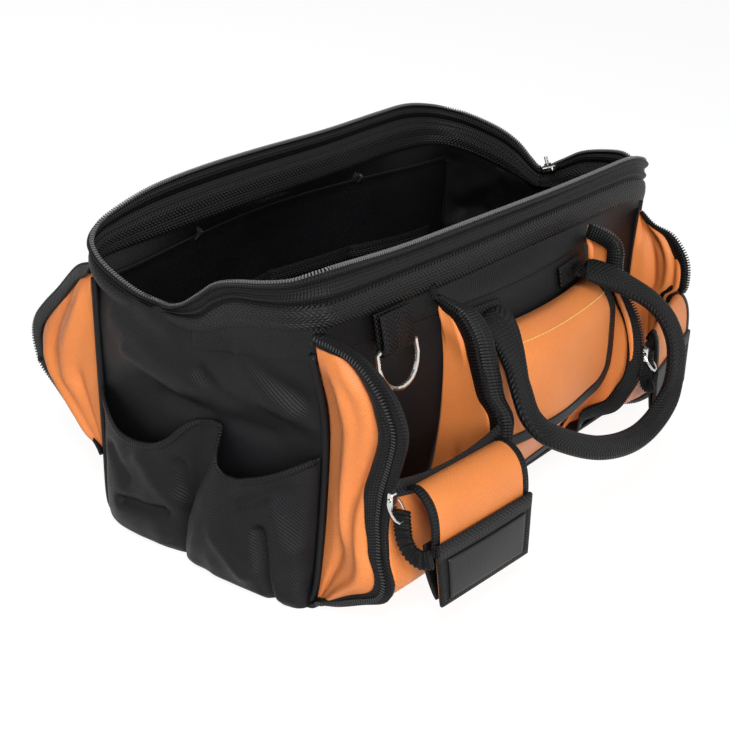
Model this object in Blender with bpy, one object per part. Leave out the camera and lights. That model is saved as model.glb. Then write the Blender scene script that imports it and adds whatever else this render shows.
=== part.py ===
"""Wide mouth tool bag with a hinged steel mouth, bellows pockets, end pockets and webbing handles.

Metres, +Z up. The origin is the centre of the underside. +X runs along the bag and the front faces -Y.
A side of -1 is the front or left one and +1 the back or right one.
"""

import math
from collections import namedtuple

import bmesh
import bpy
from mathutils import Matrix, Vector

FRONT, BACK, LEFT, RIGHT = -1, 1, -1, 1
SIDE_NAMES = {FRONT: "front", BACK: "back"}
END_NAMES = {LEFT: "left", RIGHT: "right"}

# Body
BODY_LENGTH = 0.410
BODY_DEPTH = 0.200
WALL_TOP = 0.180
FABRIC = 0.003
CLEARANCE = 0.0003
LAY = 0.0005
OVERRUN = 0.004
BASE_THICKNESS = 0.003
BASE_CORNER = 0.006
BOARD_THICKNESS = 0.003
BOARD_MARGIN = 0.008
WALL_BULGE = 0.032
PIPING_RADIUS = 0.0024

# Mouth frame, rivets and hem bands
PIVOT_RISE = 0.013
FRAME_SPREAD = 0.001
FRAME_REST_ANGLE = math.radians(9.5)
FRAME_OVERHANG = 0.0050
STRIP_THICKNESS = 0.0016
STRIP_HEIGHT = 0.009
STRIP_NEST_GAP = 0.0008
FRAME_CORNER = 0.022
EYE_RADIUS = 0.0055
RIVET_RADIUS = 0.0020
RIVET_PLAY = 0.0001
RIVET_HEAD_RADIUS = 0.0040
RIVET_HEAD_THICKNESS = 0.0014
BAND_WALL = 0.0022
BAND_POCKET = 0.0014
BAND_TOP = 0.0080
BAND_BOTTOM = 0.0110
BAND_START = 0.052
SKIRT_THICKNESS = 0.0020

# Mouth zip
ZIP_ANGLE = math.radians(12.0)
ZIP_TAPE = 0.0012
ZIP_LAP = 0.0040
ZIP_START = 0.008
COIL_START = 0.030
COIL_HALF_WIDTH = 0.0022
COIL_HEIGHT = 0.0024
SLIDER_LENGTH = 0.0105
SLIDER_WIDTH = 0.0070
SLIDER_THICKNESS = 0.0041
BRIDGE_WIDTH = 0.0012
BRIDGE_RISE = 0.0028
BRIDGE_BAR = 0.0010
PULLER_WIDTH = 0.0044
PULLER_LENGTH = 0.0085
PULLER_THICKNESS = 0.0009
PULLER_EYE = 0.0011

# Bellows pockets
POCKET_OUTER_SETBACK = 0.0030
POCKET_LENGTH = 0.108
POCKET_REACH = 0.1635
FOLDED_REACH = 0.1530
FOLDED_INNER_REACH = 0.1680
BACK_REACH = 0.1765
BACK_INNER_REACH = 0.1660
GUSSET_THICKNESS = 0.0020
PANEL_THICKNESS = 0.0024
PANEL_TOP = 0.1110
PANEL_SAG = 0.0070
POCKET_BASE = 0.0050
BACK_POCKET_BASE = 0.0475

# End pockets
END_POCKET_TOP = 0.104
END_POCKET_PEAK = 0.012
END_POCKET_DIP = 0.014
END_POCKET_BULGE = 0.020
END_POCKET_THICKNESS = 0.0018
END_POCKET_MARGIN = 0.004
END_POCKET_BASE = 0.008
MIDDLE_GAP = 0.004

# Centre pockets and flap
CENTRE_MARGIN = 0.012
CENTRE_TOP = 0.148
CENTRE_BASE = 0.009
CENTRE_BULGE = 0.016
CENTRE_THICKNESS = 0.0020
FLAP_TOP = 0.163
FLAP_BOTTOM = 0.080
FLAP_THICKNESS = 0.0024
FLAP_CORNER = 0.022

# Inner pockets
INNER_TOP = 0.125
INNER_BULGE = 0.012
INNER_THICKNESS = 0.0016
INNER_SECTIONS = 3
INNER_MARGIN = 0.020

# Carry fittings
WEBBING = 0.0030
HANDLE_WIDTH = 0.038
GRIP_WIDTH = 0.024
GRIP_THICKNESS = 0.0046
HANDLE_ROOT_DROP = 0.005
HANDLE_REACH = 0.078
HANDLE_FALL = 0.112
RING_INSET = 0.0635
RING_WIDTH = 0.042
RING_DROP = 0.028
RING_WIRE = 0.0019
RING_TILT = math.radians(12.0)
TAB_WIDTH = 0.032
TAB_RISE = 0.0180
TAB_DROP = 0.0080
TAB_THICKNESS = 0.0064
TAB_PLAY = 0.0005

# Lids on the front bellows pockets
LID_WIDTH = 0.092
LID_REACH = 0.035
LID_RISE = 0.004
LID_DROP = 0.037
LID_THICKNESS = 0.0022
LID_END_TOP = 0.020
LID_END_HEIGHT = 0.054
LID_END_THICKNESS = 0.0028
LID_END_MARGIN = 0.003
LOOP_WIDTH = 0.0080
LOOP_THICKNESS = 0.0030
LOOP_START = 0.023
LOOP_DROP = 0.050
TAG_WIDTH = 0.0052
TAG_HEIGHT = 0.0110
TAG_DEPTH = 0.0044
OVAL_WIDTH = 0.0112
OVAL_DROP = 0.0155
OVAL_WIRE = 0.0008
OVAL_LEAN = math.radians(35)

HALF_LENGTH = BODY_LENGTH / 2
HALF_DEPTH = BODY_DEPTH / 2
WALL_BASE = BASE_THICKNESS + CLEARANCE
PIVOT_HEIGHT = WALL_TOP + PIVOT_RISE
FRAME_REACH = HALF_DEPTH + FRAME_SPREAD
FRONT_FRAME_HALF_LENGTH = HALF_LENGTH + FRAME_OVERHANG
BACK_FRAME_HALF_LENGTH = FRONT_FRAME_HALF_LENGTH - STRIP_THICKNESS - STRIP_NEST_GAP
BAND_HALF = BAND_POCKET + BAND_WALL
CENTRE_HALF_WIDTH = HALF_LENGTH - POCKET_OUTER_SETBACK - POCKET_LENGTH - CENTRE_MARGIN
HANDLE_ROOT_SPREAD = CENTRE_HALF_WIDTH * 0.695
HANDLE_ROOT_HEIGHT = WALL_TOP - HANDLE_ROOT_DROP
RING_X = HALF_LENGTH - RING_INSET
TAB_TOP = WALL_TOP + TAB_RISE
TAB_BOTTOM = WALL_TOP - TAB_DROP


def material(name, colour, roughness, metallic=0.0):
    """A Principled material of one colour."""
    made = bpy.data.materials.new(name)
    made.use_nodes = True
    shader = made.node_tree.nodes["Principled BSDF"]
    shader.inputs["Base Color"].default_value = (*colour, 1.0)
    shader.inputs["Roughness"].default_value = roughness
    shader.inputs["Metallic"].default_value = metallic
    made.diffuse_color = (*colour, 1.0)
    return made


def finish(item, look, smooth_angle=math.radians(40)):
    """Links an object, gives it its material and shades its curved faces smooth."""
    bpy.context.collection.objects.link(item)
    item.data.materials.append(look)
    if item.type == "MESH":
        item.data.shade_smooth()
        item.data.set_sharp_from_angle(angle=smooth_angle)
    return item


def mesh_from(build, name):
    """A mesh whose faces point outwards, from a bmesh that is then freed."""
    bmesh.ops.remove_doubles(build, verts=build.verts, dist=CLEARANCE / 1000)
    bmesh.ops.recalc_face_normals(build, faces=build.faces)
    made = bpy.data.meshes.new(name)
    build.to_mesh(made)
    build.free()
    return made


def steps(count):
    """Even shares from 0 to 1."""
    return [k / count for k in range(count + 1)]


def sheet(name, surface, across, along, thickness, look):
    """A sewn panel: surface(u, v) at each u of across and v of along, thickened to both sides."""
    build = bmesh.new()
    rows = [[build.verts.new(surface(u, v)) for u in across] for v in along]
    for low, high in zip(rows, rows[1:]):
        for i in range(len(across) - 1):
            build.faces.new((low[i], low[i + 1], high[i + 1], high[i]))
    made = finish(bpy.data.objects.new(name, mesh_from(build, name)), look)
    shell = made.modifiers.new("thickness", "SOLIDIFY")
    shell.thickness = thickness
    shell.offset = 0.0
    shell.use_even_offset = True
    return made


def skin(name, rings, look, closed=False):
    """A solid through a row of like sections, capped at both ends unless the row closes on itself."""
    build = bmesh.new()
    loops = [[build.verts.new(point) for point in ring] for ring in rings]
    pairs = list(zip(loops, loops[1:]))
    if closed:
        pairs.append((loops[-1], loops[0]))
    count = len(loops[0])
    for first, second in pairs:
        for k in range(count):
            following = (k + 1) % count
            build.faces.new((first[k], first[following], second[following], second[k]))
    if not closed:
        build.faces.new(loops[0])
        build.faces.new(list(reversed(loops[-1])))
    return finish(bpy.data.objects.new(name, mesh_from(build, name)), look)


def block(name, low, high, look, edge=0.0):
    """A box between two corners, with its edges chamfered by edge."""
    build = bmesh.new()
    bmesh.ops.create_cube(build, size=1.0)
    low, high = Vector(low), Vector(high)
    size = high - low
    bmesh.ops.scale(build, vec=size, verts=build.verts)
    bmesh.ops.translate(build, vec=(low + high) / 2, verts=build.verts)
    if edge:
        bmesh.ops.bevel(build, geom=build.edges[:], offset=edge, segments=1, affect="EDGES")
    return finish(bpy.data.objects.new(name, mesh_from(build, name)), look)


def tube(name, points, radius, normal, look, sides=8, closed=True):
    """A round bar along points that lie in a plane with the given normal."""
    points = [Vector(p) for p in points]
    normal = Vector(normal).normalized()
    rings = []
    count = len(points)
    for k, point in enumerate(points):
        before = points[k - 1] if closed or k else point
        after = points[(k + 1) % count] if closed or k < count - 1 else point
        across = (after - before).cross(normal).normalized()
        turns = [math.tau * i / sides for i in range(sides)]
        rings.append([point + (across * math.cos(t) + normal * math.sin(t)) * radius for t in turns])
    return skin(name, rings, look, closed=closed)


def rod_x(name, axis_y, axis_z, spans, look, sides=20):
    """A turned piece about an axis along X: spans are (x, radius) pairs from left to right."""
    rings = []
    for x, radius in spans:
        turns = [math.tau * k / sides for k in range(sides)]
        rings.append([(x, axis_y + radius * math.cos(a), axis_z + radius * math.sin(a)) for a in turns])
    return skin(name, rings, look)


def combine(target, tool, operation):
    """Joins or cuts target with tool, which is then only a guide."""
    change = target.modifiers.new(operation.lower(), "BOOLEAN")
    change.operation = operation
    change.object = tool
    change.solver = "EXACT"
    tool.hide_render = True
    tool.display_type = "WIRE"
    return target


def pivot(name, place):
    """An empty on a joint's axis."""
    empty = bpy.data.objects.new(name, None)
    empty.location = place
    bpy.context.collection.objects.link(empty)
    return empty


def hang(item, empty):
    """Gives item the pivot as its parent, with its shape kept where it is."""
    item.data.transform(Matrix.Translation(-empty.location))
    item.parent = empty
    return item


def ease(share):
    """0 to 1 with a smooth start and stop."""
    share = min(1.0, max(0.0, share))
    return share * share * (3 - 2 * share)


def mix(first, second, share):
    return first + (second - first) * share


def smooth_line(points, steps):
    """A Catmull-Rom curve through points, with steps pieces between each two."""
    ends = [points[0], *points, points[-1]]
    line = []
    for a, b, c, d in zip(ends, ends[1:], ends[2:], ends[3:]):
        for k in range(steps):
            t = k / steps
            row = []
            for p, q, r, s in zip(a, b, c, d):
                bend = 2 * p - 5 * q + 4 * r - s
                cube = -p + 3 * q - 3 * r + s
                row.append(0.5 * (2 * q + (r - p) * t + bend * t * t + cube * t ** 3))
            line.append(tuple(row))
    line.append(tuple(points[-1]))
    return line


def along_table(table, share):
    """The value at share in a table of (share, value) rows, in straight stretches."""
    for (s0, v0), (s1, v1) in zip(table, table[1:]):
        if share <= s1:
            return mix(v0, v1, (share - s0) / (s1 - s0))
    return table[-1][1]


# How far the long walls swell at each share of their height. The rows of every piece that lies on a wall
# keep to these heights, so that cloth laid on cloth stays parallel.
WALL_SWELL_SHARES = (
    (0.0, 0.0), (0.1, 0.2), (0.25, 0.48), (0.45, 0.8), (0.6, 0.95), (0.8, 1.0), (0.92, 0.92), (1.0, 0.76),
)
WALL_COLUMNS = [CENTRE_HALF_WIDTH * k for k in (0.0, 1 / 3, 2 / 3, 1.0)]
WALL_COLUMNS += [HALF_LENGTH * k for k in (0.455, 0.6, 0.75, 0.9, 1.0)]


def swell_across(x):
    """The share of the swell at a place along the bag, in straight stretches between the wall's columns."""
    table = [(c, (1 - (c / HALF_LENGTH) ** 2) ** 2) for c in WALL_COLUMNS]
    return along_table(table, abs(x))


def swell(x, z):
    """The outward bulge of a long wall at a place along it and a height."""
    return WALL_BULGE * swell_across(x) * along_table(WALL_SWELL_SHARES, min(1.0, max(0.0, z / WALL_TOP)))


def wall_line(x, z):
    """The distance of a long wall's mid surface from the middle of the bag."""
    return HALF_DEPTH - FABRIC / 2 + swell(x, z)


def wall_outside(x, z):
    """The distance from the middle of the bag at which cloth laid on a wall begins."""
    return wall_line(x, z) + FABRIC / 2 + LAY


def wall_heights(low, high, halved=True):
    """Heights from low to high that hit every bend of the wall, and the middles between them."""
    knots = [low] + [s * WALL_TOP for s, _ in WALL_SWELL_SHARES if low < s * WALL_TOP < high] + [high]
    if not halved:
        return knots
    return [h for a, b in zip(knots, knots[1:]) for h in (a, (a + b) / 2)] + [high]


# Materials
BLACK_CLOTH = material("black polyester", (0.013, 0.013, 0.015), 0.75)
ORANGE_CLOTH = material("orange polyester", (0.86, 0.30, 0.08), 0.72)
BLACK_WEBBING = material("black webbing", (0.010, 0.010, 0.011), 0.82)
BLACK_BOARD = material("black board", (0.020, 0.020, 0.020), 0.60)
BLACK_COIL = material("zip coil", (0.020, 0.020, 0.022), 0.35)
BLACK_VINYL = material("black vinyl", (0.022, 0.023, 0.025), 0.40)
BLUED_STEEL = material("steel strip", (0.35, 0.35, 0.36), 0.38, 1.0)
NICKEL = material("nickel plate", (0.80, 0.77, 0.72), 0.22, 1.0)


def make_base():
    """The bottom panel that the bag rests on, and the stiff board that lies inside it."""
    build = bmesh.new()
    bmesh.ops.create_cube(build, size=1.0)
    bmesh.ops.scale(build, vec=(BODY_LENGTH, BODY_DEPTH, BASE_THICKNESS), verts=build.verts)
    bmesh.ops.translate(build, vec=(0, 0, BASE_THICKNESS / 2), verts=build.verts)
    upright = [e for e in build.edges if abs(e.verts[0].co.z - e.verts[1].co.z) > BASE_THICKNESS / 2]
    bmesh.ops.bevel(build, geom=upright, offset=BASE_CORNER, segments=4, affect="EDGES")
    finish(bpy.data.objects.new("base_panel", mesh_from(build, "base_panel")), BLACK_CLOTH)
    board_x = HALF_LENGTH - FABRIC - BOARD_MARGIN
    board_y = HALF_DEPTH - FABRIC - BOARD_MARGIN
    low = (-board_x, -board_y, WALL_BASE)
    high = (board_x, board_y, WALL_BASE + BOARD_THICKNESS)
    block("base_board", low, high, BLACK_BOARD)


def make_wall(side):
    """A long wall, swollen outwards in the middle because it has the slack that closes the mouth."""
    reach = HALF_LENGTH - FABRIC - CLEARANCE
    half = [c for c in WALL_COLUMNS if c < reach] + [reach]
    columns = [-c for c in reversed(half[1:])] + half
    heights = wall_heights(WALL_BASE + CLEARANCE, WALL_TOP - CLEARANCE, halved=False)

    def surface(x, z):
        return (x, side * wall_line(x, z), z)

    sheet(f"{SIDE_NAMES[side]}_wall", surface, columns, heights, FABRIC, BLACK_CLOTH)


def make_end(end):
    """An end panel and the piping round its sides and bottom seam."""
    middle = end * (HALF_LENGTH - FABRIC / 2)
    name = END_NAMES[end]
    low_x, high_x = sorted((middle - FABRIC / 2, middle + FABRIC / 2))
    half = HALF_DEPTH - PIPING_RADIUS * 2
    block(f"{name}_end_panel", (low_x, -half, WALL_BASE), (high_x, half, WALL_TOP), BLACK_CLOTH)
    x = end * (HALF_LENGTH + PIPING_RADIUS + CLEARANCE)
    corner = BASE_CORNER * 2
    low = PIPING_RADIUS + CLEARANCE * 2
    route = [(x, -half, WALL_TOP)]
    for k in range(7):
        turn = math.pi / 2 * k / 6
        route.append((x, -half + corner * (1 - math.cos(turn)), low + corner * (1 - math.sin(turn))))
    route += [(x, -y, z) for x, y, z in reversed(route)]
    tube(f"{name}_end_piping", route, PIPING_RADIUS, (1, 0, 0), BLACK_WEBBING, sides=6, closed=False)


# The rim of an end pocket across its width: high where it is sewn, low where it gapes.
END_RIM_SHARES = ((0.0, 0.35), (0.2, 0.0), (0.55, 0.0), (0.8, 0.35), (1.0, 1.0))


def make_end_pocket(end, side):
    """A slip pocket sewn to half of an end panel by its sides and foot, standing open at the rim."""
    name = f"{END_NAMES[end]}_end_pocket_{SIDE_NAMES[side]}"
    seat = HALF_LENGTH + CLEARANCE + END_POCKET_THICKNESS
    outer = HALF_DEPTH - END_POCKET_MARGIN - PIPING_RADIUS * 3
    inner = MIDDLE_GAP / 2

    lowest = END_POCKET_TOP - END_POCKET_DIP

    def surface(u, v):
        y = side * mix(outer, inner, u)
        rim = lowest + along_table(END_RIM_SHARES, u) * (END_POCKET_DIP + END_POCKET_PEAK)
        z = mix(END_POCKET_BASE, rim, v)
        belly = math.sin(math.pi * u) ** 0.8 * math.sin(math.pi * min(1.0, v * 0.62)) ** 0.7
        return (end * (seat + END_POCKET_BULGE * belly), y, z)

    sheet(name, surface, steps(8), steps(6), END_POCKET_THICKNESS, BLACK_CLOTH)


# The gussets from foot to head: share of the wall's height at the seam, then the share of the gusset's
# reach and of the wall's height at the free edge. The foot rises outwards, the head runs back to the wall.
OUTER_GUSSET_SHARES = (
    (0.028, 1.00, 0.235), (0.10, 0.93, 0.30), (0.175, 0.88, 0.38), (0.25, 0.86, 0.455), (0.35, 0.87, 0.54),
    (0.45, 0.90, 0.62), (0.525, 0.93, 0.69), (0.60, 0.97, 0.755), (0.70, 1.00, 0.82), (0.80, 0.95, 0.885),
    (0.86, 0.80, 0.94), (0.92, 0.55, 0.978), (0.96, 0.28, 0.993), (0.99, 0.08, 0.998),
)
INNER_GUSSET_SHARES = (
    (0.028, 1.00, 0.20), (0.10, 1.00, 0.27), (0.175, 1.00, 0.33), (0.25, 1.00, 0.39), (0.35, 1.00, 0.46),
    (0.45, 1.00, 0.53), (0.525, 0.98, 0.58), (0.60, 0.80, 0.63), (0.70, 0.54, 0.70), (0.80, 0.40, 0.79),
    (0.86, 0.31, 0.85), (0.92, 0.21, 0.912), (0.96, 0.13, 0.955), (0.99, 0.06, 0.99),
)
FOLDED_GUSSET_SHARES = (
    (0.028, 0.86, 0.235), (0.10, 0.78, 0.30), (0.175, 0.73, 0.38), (0.25, 0.70, 0.455), (0.35, 0.69, 0.53),
    (0.45, 0.71, 0.59), (0.525, 0.80, 0.635), (0.60, 1.00, 0.69), (0.70, 1.00, 0.76), (0.80, 0.98, 0.82),
    (0.86, 0.88, 0.88), (0.92, 0.67, 0.935), (0.96, 0.30, 0.955), (0.99, 0.08, 0.99),
)
BACK_GUSSET_SHARES = (
    (0.28, 0.94, 0.555), (0.35, 0.98, 0.60), (0.45, 1.00, 0.655), (0.525, 0.99, 0.69), (0.60, 0.95, 0.735),
    (0.70, 0.76, 0.81), (0.80, 0.57, 0.89), (0.86, 0.44, 0.935), (0.92, 0.29, 0.97), (0.96, 0.17, 0.985),
    (0.99, 0.06, 0.995),
)
BACK_INNER_GUSSET_SHARES = (
    (0.28, 1.00, 0.50), (0.35, 1.00, 0.53), (0.45, 1.00, 0.57), (0.525, 0.95, 0.61), (0.60, 0.80, 0.65),
    (0.70, 0.54, 0.72), (0.80, 0.40, 0.80), (0.86, 0.31, 0.86), (0.92, 0.21, 0.92), (0.96, 0.13, 0.96),
    (0.99, 0.06, 0.99),
)

# The bellows pockets. The front right one is folded in at its outer side, and the back ones are sewn on
# higher up the wall and hang open.
Pocket = namedtuple("Pocket", "outer_rows outer_reach inner_rows inner_reach base")
FRONT_LEFT = Pocket(OUTER_GUSSET_SHARES, POCKET_REACH, INNER_GUSSET_SHARES, POCKET_REACH, POCKET_BASE)
FRONT_RIGHT = Pocket(FOLDED_GUSSET_SHARES, FOLDED_REACH, INNER_GUSSET_SHARES, FOLDED_INNER_REACH, POCKET_BASE)
AT_THE_BACK = Pocket(
    BACK_GUSSET_SHARES, BACK_REACH, BACK_INNER_GUSSET_SHARES, BACK_INNER_REACH, BACK_POCKET_BASE,
)
POCKETS = {
    (FRONT, LEFT): FRONT_LEFT, (FRONT, RIGHT): FRONT_RIGHT,
    (BACK, LEFT): AT_THE_BACK, (BACK, RIGHT): AT_THE_BACK,
}


def pocket_span(end):
    """Outer and inner X of the bellows pocket at one end of a long side."""
    outer = HALF_LENGTH - POCKET_OUTER_SETBACK
    return end * outer, end * (outer - POCKET_LENGTH)


def gusset_seam(x, z):
    """The distance of a gusset's seam from the middle of the bag, clear of the wall on both its faces."""
    return max(wall_outside(abs(x) - GUSSET_THICKNESS, z), wall_outside(abs(x), z))


def gusset_edge(x, row, reach):
    """The free edge of a gusset at one of its rows, as the distance from the middle and the height."""
    seam_share, out, up = row
    near = gusset_seam(x, seam_share * WALL_TOP)
    return mix(near, reach, out), up * WALL_TOP


def edge_at(x, rows, reach, height):
    """The distance from the middle of a gusset's free edge at a height above its toe."""
    table = [gusset_edge(x, row, reach) for row in rows if row[0] < 0.85]
    return along_table([(z, y) for y, z in table], height)


def rim_edges(side, end, level):
    """The distances from the middle of a pocket's outer and inner free edges at a height."""
    outer_x, inner_x = pocket_span(end)
    form = POCKETS[side, end]
    outer = edge_at(outer_x, form.outer_rows, form.outer_reach, level)
    return outer, edge_at(inner_x, form.inner_rows, form.inner_reach, level)


def make_bellows_pocket(side, end):
    """A bellows pocket: two gussets that stand out from the wall, and a front panel with a sloping toe."""
    prefix = f"{SIDE_NAMES[side]}_{END_NAMES[end]}_pocket"
    outer_x, inner_x = pocket_span(end)
    form = POCKETS[side, end]

    def gusset(x, rows, reach, name):
        def surface(u, v):
            row = rows[v]
            z = row[0] * WALL_TOP
            y_edge, z_edge = gusset_edge(x, row, reach)
            return (x, side * mix(gusset_seam(x, z), y_edge, u), mix(z, z_edge, u))

        sheet(name, surface, steps(3), range(len(rows)), GUSSET_THICKNESS, ORANGE_CLOTH)

    gusset(outer_x, form.outer_rows, form.outer_reach, f"{prefix}_outer_gusset")
    gusset(inner_x, form.inner_rows, form.inner_reach, f"{prefix}_inner_gusset")

    inset = end * (GUSSET_THICKNESS / 2 + CLEARANCE * 2)
    first_x, last_x = outer_x - inset, inner_x + inset
    toe_rows = 4

    def panel(u, v):
        x = mix(first_x, last_x, u)
        near = wall_outside(x, form.base + PANEL_THICKNESS) + PANEL_THICKNESS / 2
        outer_toe, outer_up = gusset_edge(outer_x, form.outer_rows[0], form.outer_reach)
        inner_toe, inner_up = gusset_edge(inner_x, form.inner_rows[0], form.inner_reach)
        toe_y, toe_z = mix(outer_toe, inner_toe, u), mix(outer_up, inner_up, u)
        if v < toe_rows:
            share = v / toe_rows
            return (x, side * mix(near, toe_y, share), mix(form.base, toe_z, share))
        share = (v - toe_rows) / toe_rows
        z = mix(toe_z, PANEL_TOP - PANEL_SAG * math.sin(math.pi * u), share)
        outer_y, inner_y = rim_edges(side, end, min(z, PANEL_TOP - PANEL_SAG))
        crown = PANEL_SAG / 2 * math.sin(math.pi * u) * math.sin(math.pi * share)
        return (x, side * (mix(outer_y, inner_y, u) + crown), z)

    sheet(f"{prefix}_panel", panel, steps(6), range(toe_rows * 2 + 1), PANEL_THICKNESS, ORANGE_CLOTH)


CENTRE_COLUMNS = [CENTRE_HALF_WIDTH * k for k in (0.0, 1 / 6, 1 / 3, 0.5, 2 / 3, 5 / 6, 0.95, 1.0)]


def centre_columns():
    return [-c for c in reversed(CENTRE_COLUMNS[1:])] + CENTRE_COLUMNS


def centre_distance(x, z):
    """The mid surface of a centre pocket, carried on above its rim back to the wall for the flap."""
    across = max(0.0, math.cos(math.pi / 2 * x / CENTRE_HALF_WIDTH)) ** 0.9
    up = ease((z - CENTRE_BASE) / (CENTRE_TOP - CENTRE_BASE) / 0.45)
    if z > CENTRE_TOP:
        up = max(0.0, 1 - ((z - CENTRE_TOP) / (FLAP_TOP - CENTRE_TOP)) ** 2) ** 0.5
    return wall_outside(x, z) + CENTRE_THICKNESS / 2 + CENTRE_BULGE * across * up


def make_centre_pocket(side):
    """The wide slip pocket in the middle of a long side."""
    heights = wall_heights(CENTRE_BASE, CENTRE_TOP)
    name = f"{SIDE_NAMES[side]}_center_pocket"

    def surface(x, z):
        return (x, side * centre_distance(x, z), z)

    sheet(name, surface, centre_columns(), heights, CENTRE_THICKNESS, ORANGE_CLOTH)


# The rows of the flap above the pocket's rim, closer together where it rolls over to its seam.
FLAP_ROLL_SHARES = (0.3, 0.6, 0.8, 0.92, 1.0)


def make_flap():
    """The bound flap over the front centre pocket, hinged on its top seam."""
    lift = (CENTRE_THICKNESS + FLAP_THICKNESS) / 2 + LAY * 2
    over = FLAP_TOP - CENTRE_TOP
    heights = wall_heights(FLAP_BOTTOM, CENTRE_TOP)
    heights += [CENTRE_TOP + over * share for share in FLAP_ROLL_SHARES]

    def surface(x, z):
        inset = CENTRE_HALF_WIDTH - abs(x)
        if inset < FLAP_CORNER:
            drop = FLAP_CORNER - math.sqrt(FLAP_CORNER ** 2 - (FLAP_CORNER - inset) ** 2)
            z = mix(FLAP_BOTTOM + drop, FLAP_TOP, (z - FLAP_BOTTOM) / (FLAP_TOP - FLAP_BOTTOM))
        return (x, -(centre_distance(x, z) + lift), z)

    flap = sheet("center_flap", surface, centre_columns(), heights, FLAP_THICKNESS, ORANGE_CLOTH)
    hang(flap, pivot("center_flap_axis", (0.0, surface(0.0, FLAP_TOP)[1], FLAP_TOP)))


def make_inner_pocket(side):
    """The row of slip pockets sewn inside a long wall."""
    reach = HALF_LENGTH - FABRIC - INNER_MARGIN
    base = WALL_BASE + BOARD_THICKNESS + CLEARANCE * 3

    def surface(u, z):
        x = mix(-reach, reach, u)
        open_up = ease((z - base) / (INNER_TOP - base) / 0.5)
        belly = abs(math.sin(math.pi * INNER_SECTIONS * u)) ** 0.7 * open_up
        depth = FABRIC / 2 + LAY * 2 + INNER_THICKNESS / 2 + INNER_BULGE * belly
        return (x, side * (wall_line(x, z) - depth), z)

    heights = wall_heights(base, INNER_TOP, halved=False)
    name = f"{SIDE_NAMES[side]}_inner_pocket"
    sheet(name, surface, steps(INNER_SECTIONS * 6), heights, INNER_THICKNESS, BLACK_CLOTH)


def frame_point(side, x, reach, rise):
    """A point on or off the plane of one half of the mouth frame, which tilts up from the rivets."""
    c, s = math.cos(FRAME_REST_ANGLE), math.sin(FRAME_REST_ANGLE)
    return (x, side * (reach * c - rise * s), PIVOT_HEIGHT + reach * s + rise * c)


def frame_half_length(side):
    return FRONT_FRAME_HALF_LENGTH if side == FRONT else BACK_FRAME_HALF_LENGTH


def mouth_route(side, start, corner_steps=5, rail_steps=1):
    """The U of one mouth half as (x, reach, normal x, normal reach) rows, from rivet to rivet."""
    half = frame_half_length(side)
    centre_x, centre_reach = half - FRAME_CORNER, FRAME_REACH - FRAME_CORNER
    route = [(-half, start, -1.0, 0.0)]
    for k in range(corner_steps + 1):
        a = math.pi / 2 * k / corner_steps
        nx, nr = -math.cos(a), math.sin(a)
        route.append((-centre_x + FRAME_CORNER * nx, centre_reach + FRAME_CORNER * nr, nx, nr))
    for k in range(1, rail_steps):
        route.append((mix(-centre_x, centre_x, k / rail_steps), FRAME_REACH, 0.0, 1.0))
    corner = [row for row in route if row[0] <= -centre_x]
    return route + mirrored(corner)


def mirrored(route):
    return [(-x, r, -nx, nr) for x, r, nx, nr in reversed(route)]


def sweep_mouth(name, side, route, section, look):
    """Carries a section of (offset, rise) points, which may change with the reach, round the mouth."""
    rings = []
    for x, reach, nx, nr in route:
        points = section(reach)
        rings.append([frame_point(side, x + o * nx, reach + o * nr, h) for o, h in points])
    return skin(name, rings, look)


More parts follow.
